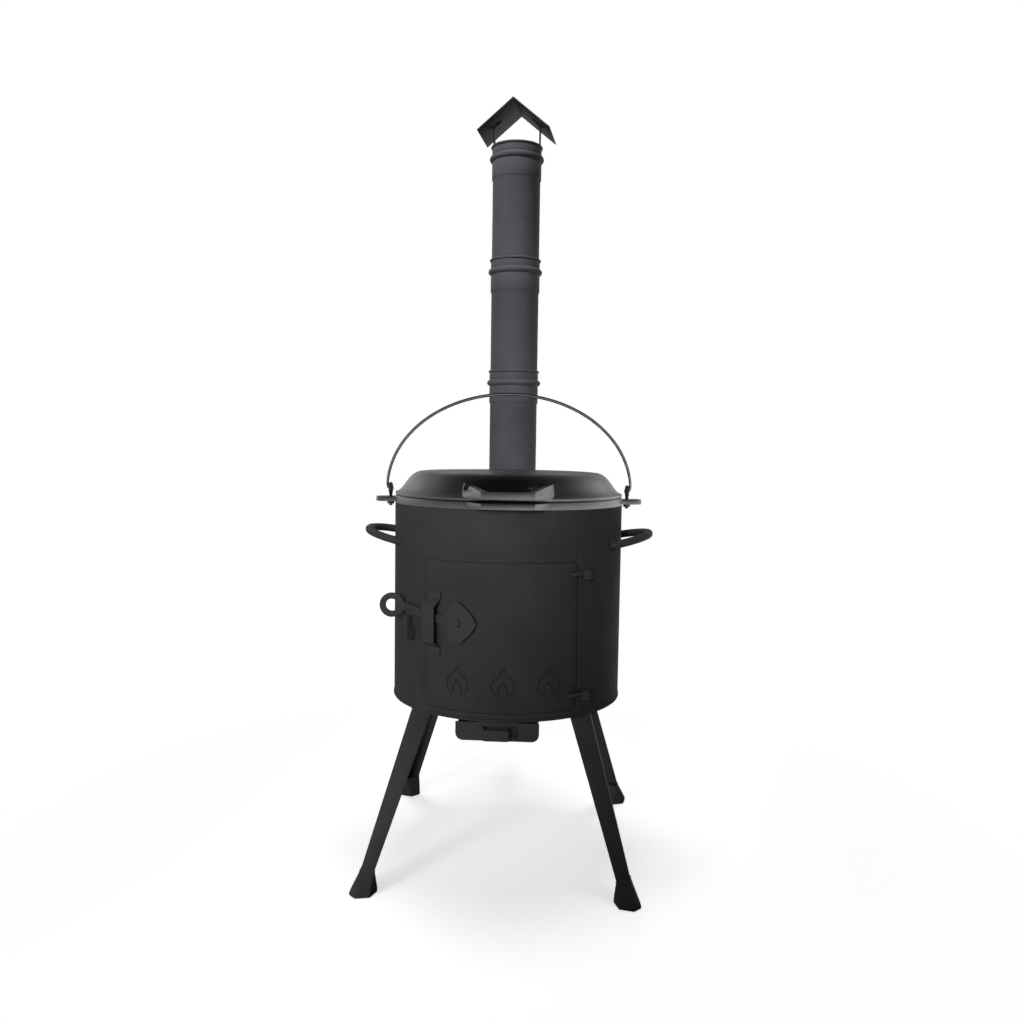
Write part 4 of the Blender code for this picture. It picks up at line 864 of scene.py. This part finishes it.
@dataclass
class Cauldron:
    """The cast pot, its lid and its bail.

    Attributes:
        cast_edge: rounding of the castings' edges.
        cast_segments: how many faces cross such an edge.
        bolt_edge: rounding of the eye bolts' and nuts' edges.
        lid_shade: edges of the lid that are blunter than this many degrees look smooth.
        hollow_place: a grip hollow's place beside, out from and below the middle of the lid's top.
        hollow_size: its half axes along the ear, into it and upright.
        hollow_turn: the ear's angle in radians.
    """

    cast_edge: float = 1.4 * MM
    cast_segments: int = 3
    bolt_edge: float = 0.3 * MM
    lid_shade: float = 40.0
    hollow_place: Point = (56.0 * MM, 187.2 * MM, 21.0 * MM)
    hollow_size: Point = (10.5 * MM, 11.0 * MM, 5.5 * MM)
    hollow_turn: float = math.radians(59.2)

    def build(self) -> None:
        """Dress the pot, the lid, the eye bolts and the bail."""
        dress(Bench.copy_of("cauldron", self.cast_edge, self.cast_segments), Body.CAULDRON,
              CAST_SKIN, Slot.CAST, "cauldron")
        self._lid()
        dress_nodes(("eye_bolt_left", "eye_nut_left", "eye_bolt_right", "eye_nut_right"),
                    self.bolt_edge, Body.CAULDRON, PLATED_STEEL, Slot.PLATED)
        wire = Bench.copy_of("bail", joined=False)
        Bench.modify(wire, "SUBSURF", levels=1)
        bpy.ops.object.shade_smooth()
        dress(wire, Body.BAIL, BRIGHT_WIRE, Slot.PLATED, "bail")

    def _lid(self) -> None:
        """Dress the lid, with a hollow in each ear of its two grips."""
        lid = Bench.copy_of("lid", self.cast_edge, self.cast_segments)
        centre, top = middle("lid"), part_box("lid")[1][2]
        across, out, down = self.hollow_place
        for hand, end in ((-1, -1), (-1, 1), (1, -1), (1, 1)):
            Bench.clear()
            bpy.ops.mesh.primitive_uv_sphere_add(
                segments=32, ring_count=16, radius=1.0,
                rotation=(0.0, 0.0, -hand * end * self.hollow_turn),
                location=(centre.x + hand * across, centre.y + end * out, top - down))
            cutter = bpy.context.object
            cutter.scale = self.hollow_size
            Bench.carve(lid, Bench.settle(cutter, "cutter"))
        Bench.smooth(lid, self.lid_shade)
        dress(lid, Body.LID, CAST_SKIN, Slot.CAST, "lid")


@dataclass
class Chimney:
    """Three beaded pipe sections and the rain cap.

    Attributes:
        pipe: outer radius of the plain pipe.
        wall: thickness of its sheet.
        socket: outer radius of the widened socket.
        socket_depth: length of the socket.
        socket_slack: how much wider the socket's bore is than the pipe.
        shoulder: height of the slope from the pipe to its socket.
        easing: how far the slope's corners are eased, outwards and along the pipe.
        groove: depth of the pressed grooves beside the lip and the bead.
        lip: outer radius of the rolled lip.
        lip_height: height of that roll.
        lip_steps: faces across it.
        lip_groove: where the groove below the lip starts, ends and has run out, from the lip.
        bead: outer radius of the pressed bead.
        bead_drop: middle of the bead below the lip.
        bead_half: half the bead's height.
        bead_steps: faces across it.
        bead_point: how much more pointed than a half circle the bead is.
        bead_groove: where the grooves beside the bead lie and have run out, from the bead.
        seam: width and height of the folded seam at the pipe's back.
        seam_gap: how much shorter the seam is than the plain pipe.
        seam_edge: rounding of its edges.
        edge: rounding of the cap's edges.
        steps: faces round the pipe.
        shade: edges of the pipe that are blunter than this many degrees look smooth.
    """

    pipe: float = 50.0 * MM
    wall: float = 1.4 * MM
    socket: float = 51.8 * MM
    socket_depth: float = 68.0 * MM
    socket_slack: float = 0.3 * MM
    shoulder: float = 1.4 * MM
    easing: FlatPoint = (0.4 * MM, 0.6 * MM)
    groove: float = 0.8 * MM
    lip: float = 54.2 * MM
    lip_height: float = 4.6 * MM
    lip_steps: int = 6
    lip_groove: Point = (0.6 * MM, 1.6 * MM, 3.2 * MM)
    bead: float = 57.0 * MM
    bead_drop: float = 26.0 * MM
    bead_half: float = 6.2 * MM
    bead_steps: int = 8
    bead_point: float = 1.5
    bead_groove: FlatPoint = (1.0 * MM, 3.0 * MM)
    seam: FlatPoint = (7.0 * MM, 1.0 * MM)
    seam_gap: float = 8.0 * MM
    seam_edge: float = 0.6 * MM
    edge: float = 0.4 * MM
    steps: int = 72
    shade: float = 50.0

    def build(self) -> None:
        """Make and dress the pipes and the cap."""
        for number, body in enumerate((Body.PIPE_1, Body.PIPE_2, Body.PIPE_3), start=1):
            node = "chimney_section_%d" % number
            centre = tuple(middle(node).xy)
            low, high = (corner[2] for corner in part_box(node))
            pipe = Bench.turned("pipe_%d" % number, self._section(low, high), centre, self.steps)
            Bench.smooth(pipe, self.shade)
            dress(pipe, body, PIPE_ENAMEL, Slot.PIPE, node)
            seam = self._seam("pipe_seam_%d" % number, centre, low + self.socket_depth,
                              high - self.socket_depth)
            dress(seam, body, PIPE_ENAMEL, Slot.PIPE)
        dress_nodes(("cap_roof", "cap_strut_left", "cap_strut_right"), self.edge, Body.CAP,
                    PIPE_ENAMEL, Slot.PIPE)

    def _section(self, low: float, high: float) -> list[FlatPoint]:
        """Return one pipe's profile, from the lip down the outside and back up the inside.

        Args:
            low: the pipe's lower end.
            high: its lip.

        Returns:
            A closed loop of radius and height.
        """
        step = high - self.socket_depth
        slope = step - self.shoulder
        roll = self.lip_height / 2
        lip_foot = high - self.lip_height
        bead = high - self.bead_drop
        bead_top, bead_foot = bead + self.bead_half, bead - self.bead_half
        valley = self.socket - self.groove
        bore = self.pipe + self.socket_slack
        starts, ends, run_out = self.lip_groove
        beside, beyond = self.bead_groove
        ease_out, ease_up = self.easing
        return [
            (bore, high),
            *self._swell(high - roll, roll, self.lip, self.lip_steps),
            (valley, lip_foot - starts), (valley, lip_foot - ends),
            (self.socket, lip_foot - run_out),
            (self.socket, bead_top + beyond), (valley, bead_top + beside),
            *self._swell(bead, self.bead_half, self.bead, self.bead_steps, self.bead_point),
            (valley, bead_foot - beside), (self.socket, bead_foot - beyond),
            (self.socket, step + ease_up), (self.socket - ease_out, step),
            (self.pipe + ease_out, slope), (self.pipe, slope - ease_up),
            (self.pipe, low), (self.pipe - self.wall, low),
            (self.pipe - self.wall, step), (bore, step)]

    def _swell(self, level: float, half: float, crest: float, steps: int,
               point: float = 1.0) -> list[FlatPoint]:
        """Return the profile of a round swelling of the socket, from its top to its foot.

        Args:
            level: height of its middle.
            half: half its height.
            crest: its outer radius.
            steps: faces across it.
            point: how pointed it is: one is a half circle.

        Returns:
            Points of radius and height.
        """
        turns = [math.pi * i / steps for i in range(steps + 1)]
        return [(self.socket + (crest - self.socket) * math.sin(turn) ** point,
                 level + half * math.cos(turn)) for turn in turns]

    def _seam(self, name: str, centre: FlatPoint, low: float, high: float) -> Piece:
        """Fold a flat lock seam along a pipe's back.

        Args:
            name: the piece's name.
            centre: the pipe's axis.
            low: lower end of the plain pipe.
            high: its upper end.

        Returns:
            A flat strip with rounded edges, half sunk in the pipe.
        """
        width, height = self.seam
        Bench.clear()
        bpy.ops.mesh.primitive_cube_add(
            size=1.0, location=(centre[0], centre[1] + self.pipe, (low + high) / 2))
        strip = bpy.context.object
        strip.scale = (width, height * 2, high - low - self.seam_gap)
        Bench.settle(strip, name)
        Bench.bevel(strip, self.seam_edge, 3)
        Bench.smooth(strip)
        return strip


# ---- studio


@dataclass(frozen=True)
class Lamp:
    """A soft square lamp.

    Attributes:
        name: its name.
        place: where it hangs, from the foot of the drum's axis.
        aim: the place that it points at, from there too.
        size: length of its side.
        power: its power in watts.
        spread: how wide it throws its light, in degrees.
    """

    name: str
    place: Point
    aim: Point
    size: float
    power: float
    spread: float


@dataclass
class Studio:
    """Floor, lights and the camera at the photograph's angle.

    Attributes:
        axis: the drum's middle line, which the camera's place is measured from.
        camera_place: the lens, from the foot of the drum's axis.
        yaw, pitch, roll: the camera's turn in radians: left, down and anticlockwise.
        focal_px: focal length in pixels of a frame frame_px wide.
        frame_px: width of that frame.
        sensor_mm: width of the camera's sensor.
        sight: how far the camera sees.
        floor_radius: radius of the floor.
        floor_tones: the floor's colour for all other rays and for the camera.
        floor_lift: how much of the floor's white the camera sees without light.
        floor_fade: from and to which distance the floor turns into the white backdrop.
        floor_sides: how bright the floor's left and right sides stand in shiny metal.
        floor_reach: how far to the left and right those sides are.
        room: the room's brightness from the camera's side to the backdrop.
        ceiling: the share of it from the horizon up.
        sides: the share of it from left to right.
        soft_light: the room's even light on matt surfaces.
        lamps: the lamps.
    """

    axis: FlatPoint
    camera_place: Point = (0.112, -1.637, 0.738)
    yaw: float = 0.0645
    pitch: float = 0.0722
    roll: float = 0.0144
    focal_px: float = 901.4
    frame_px: float = 1024.0
    sensor_mm: float = 36.0
    sight: float = 60.0
    floor_radius: float = 14.0
    floor_tones: tuple[str, str] = ("#6c6c6c", "#f4f4f4")
    floor_lift: float = 0.62
    floor_fade: FlatPoint = (0.45, 1.0)
    floor_sides: FlatPoint = (0.4, 1.0)
    floor_reach: float = 1.5
    room: Stops = ((0.0, 0.13), (0.3, 0.13), (0.45, 0.25), (0.62, 0.85), (0.78, 1.0))
    ceiling: Stops = ((0.0, 1.0), (0.3, 1.0), (0.5, 0.75), (0.75, 0.13), (1.0, 0.05))
    sides: Stops = ((0.0, 0.9), (0.2, 0.95), (0.5, 0.3), (0.8, 1.0), (1.0, 1.0))
    soft_light: float = 0.05
    lamps: tuple[Lamp, ...] = (
        Lamp("lamp_key", (-0.35, -1.8, 1.0), (-0.1, 0.0, 0.7), 0.6, 2.4, 36.0),
        Lamp("lamp_pipe", (-0.7, -1.1, 2.2), (0.0, 0.2, 1.4), 0.5, 1.75, 30.0),
        Lamp("lamp_low", (-1.1, -1.6, 0.25), (-0.1, 0.0, 0.07), 0.4, 0.75, 24.0),
        Lamp("lamp_back", (0.1, 2.4, 1.0), (0.0, 0.0, 0.6), 0.6, 0.9, 32.0),
        Lamp("lamp_above", (0.0, 0.16, 2.9), (0.0, 0.0, 0.1), 0.75, 29.0, 180.0))

    def build(self) -> None:
        """Set up the whole studio."""
        self._camera()
        self._floor()
        self._world()
        self._lights()
        bpy.context.scene.view_settings.view_transform = "Standard"

    def _camera(self) -> None:
        """Place the camera."""
        Bench.clear()
        bpy.ops.object.camera_add()
        camera = bpy.context.object
        camera.name = "camera"
        ahead = Vector((-math.sin(self.yaw) * math.cos(self.pitch),
                        math.cos(self.yaw) * math.cos(self.pitch), -math.sin(self.pitch)))
        right = Vector((math.cos(self.yaw), math.sin(self.yaw), 0.0))
        above = right.cross(ahead)
        cosine, sine = math.cos(self.roll), math.sin(self.roll)
        tilted_right = right * cosine + above * sine
        tilted_up = above * cosine - right * sine
        turn = Matrix((tilted_right, tilted_up, -ahead)).transposed().to_4x4()
        place = Vector(self.camera_place) + Vector((*self.axis, 0.0))
        camera.matrix_world = Matrix.Translation(place) @ turn
        camera.data.sensor_width = self.sensor_mm
        camera.data.lens = self.focal_px / self.frame_px * self.sensor_mm
        camera.data.clip_end = self.sight
        bpy.context.scene.camera = camera

    def _floor(self) -> None:
        """Lay a white floor that keeps the stove's shadow and fades into the backdrop."""
        Bench.clear()
        bpy.ops.mesh.primitive_circle_add(vertices=96, radius=self.floor_radius,
                                          fill_type="NGON", location=(0.0, 0.0, 0.0))
        floor = bpy.context.object
        floor.name = "studio_floor"
        material = bpy.data.materials.new("white_studio_floor")
        material.use_nodes = True
        tree = material.node_tree
        output = tree.nodes["Material Output"]
        tree.nodes.remove(tree.nodes["Principled BSDF"])
        rays = add_node(tree, "ShaderNodeLightPath").outputs
        camera, glossy = rays["Is Camera Ray"], rays["Is Glossy Ray"]
        place = add_node(tree, "ShaderNodeTexCoord").outputs["Object"]
        # Near the stove: a matt floor that takes the shadow, and for the camera a lift.
        tone = mix(tree, camera, *map(linear, self.floor_tones))
        matt = add_node(tree, "ShaderNodeBsdfDiffuse", {"Color": tone}).outputs["BSDF"]
        lift = white_glow(tree, combine(tree, "MULTIPLY", camera, self.floor_lift))
        near = add_node(tree, "ShaderNodeAddShader", {0: matt, 1: lift}).outputs["Shader"]
        # Far from it: plain white for the camera, and darker to the left in shiny metal.
        side = add_node(tree, "ShaderNodeSeparateXYZ", {"Vector": place}).outputs["X"]
        mirrored = remap(tree, side, (-self.floor_reach, self.floor_reach), self.floor_sides)
        far = white_glow(tree, combine(tree, "MAXIMUM", mirrored, camera))
        reach = add_node(tree, "ShaderNodeVectorMath", {0: place}, operation="LENGTH")
        fade = remap(tree, reach.outputs["Value"], self.floor_fade, curve="SMOOTHSTEP")
        share = combine(tree, "MULTIPLY", fade, combine(tree, "MAXIMUM", camera, glossy))
        both = add_node(tree, "ShaderNodeMixShader", {0: share, 1: near, 2: far})
        tree.links.new(both.outputs["Shader"], output.inputs["Surface"])
        floor.data.materials.append(material)

    def _world(self) -> None:
        """Light the room: a white backdrop behind the stove, and dim before and above it."""
        world = bpy.data.worlds.new("studio")
        bpy.context.scene.world = world
        world.use_nodes = True
        tree = world.node_tree
        background = tree.nodes["Background"]
        place = add_node(tree, "ShaderNodeTexCoord").outputs["Generated"]
        axes = add_node(tree, "ShaderNodeSeparateXYZ", {"Vector": place}).outputs
        shaded = ramp(tree, remap(tree, axes["Y"], (-1.0, 1.0)), self.room)
        above = ramp(tree, axes["Z"], self.ceiling)
        beside = ramp(tree, remap(tree, axes["X"], (-1.0, 1.0)), self.sides)
        for part in (above, beside):
            shaded = mix(tree, 1.0, shaded, part, "MULTIPLY")
        rays = add_node(tree, "ShaderNodeLightPath").outputs
        for flag, tone in (("Is Diffuse Ray", self.soft_light), ("Is Camera Ray", 1.0)):
            shaded = mix(tree, rays[flag], shaded, (tone, tone, tone, 1.0))
        tree.links.new(shaded, background.inputs["Color"])
        background.inputs["Strength"].default_value = 1.0

    def _lights(self) -> None:
        """Hang the lamps: narrow ones round the stove, and one above it for its shadow."""
        foot = Vector((*self.axis, 0.0))
        for lamp in self.lamps:
            Bench.clear()
            place = Vector(lamp.place)
            bpy.ops.object.light_add(type="AREA", location=foot + place)
            light = bpy.context.object
            light.name = lamp.name
            light.data.size = lamp.size
            light.data.energy = lamp.power
            light.data.spread = math.radians(lamp.spread)
            light.visible_glossy = light.visible_camera = False
            light.rotation_euler = (Vector(lamp.aim) - place).to_track_quat("-Z", "Y").to_euler()


def main() -> None:
    """Build the scene."""
    logging.basicConfig(level=logging.INFO, format="%(message)s")
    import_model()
    body = SteelBody()
    body.build()
    FireDoor().build()
    AshDrawer().build()
    Cauldron().build()
    Chimney().build()
    Studio(body.axis).build()


if __name__ == "__main__":
    main()
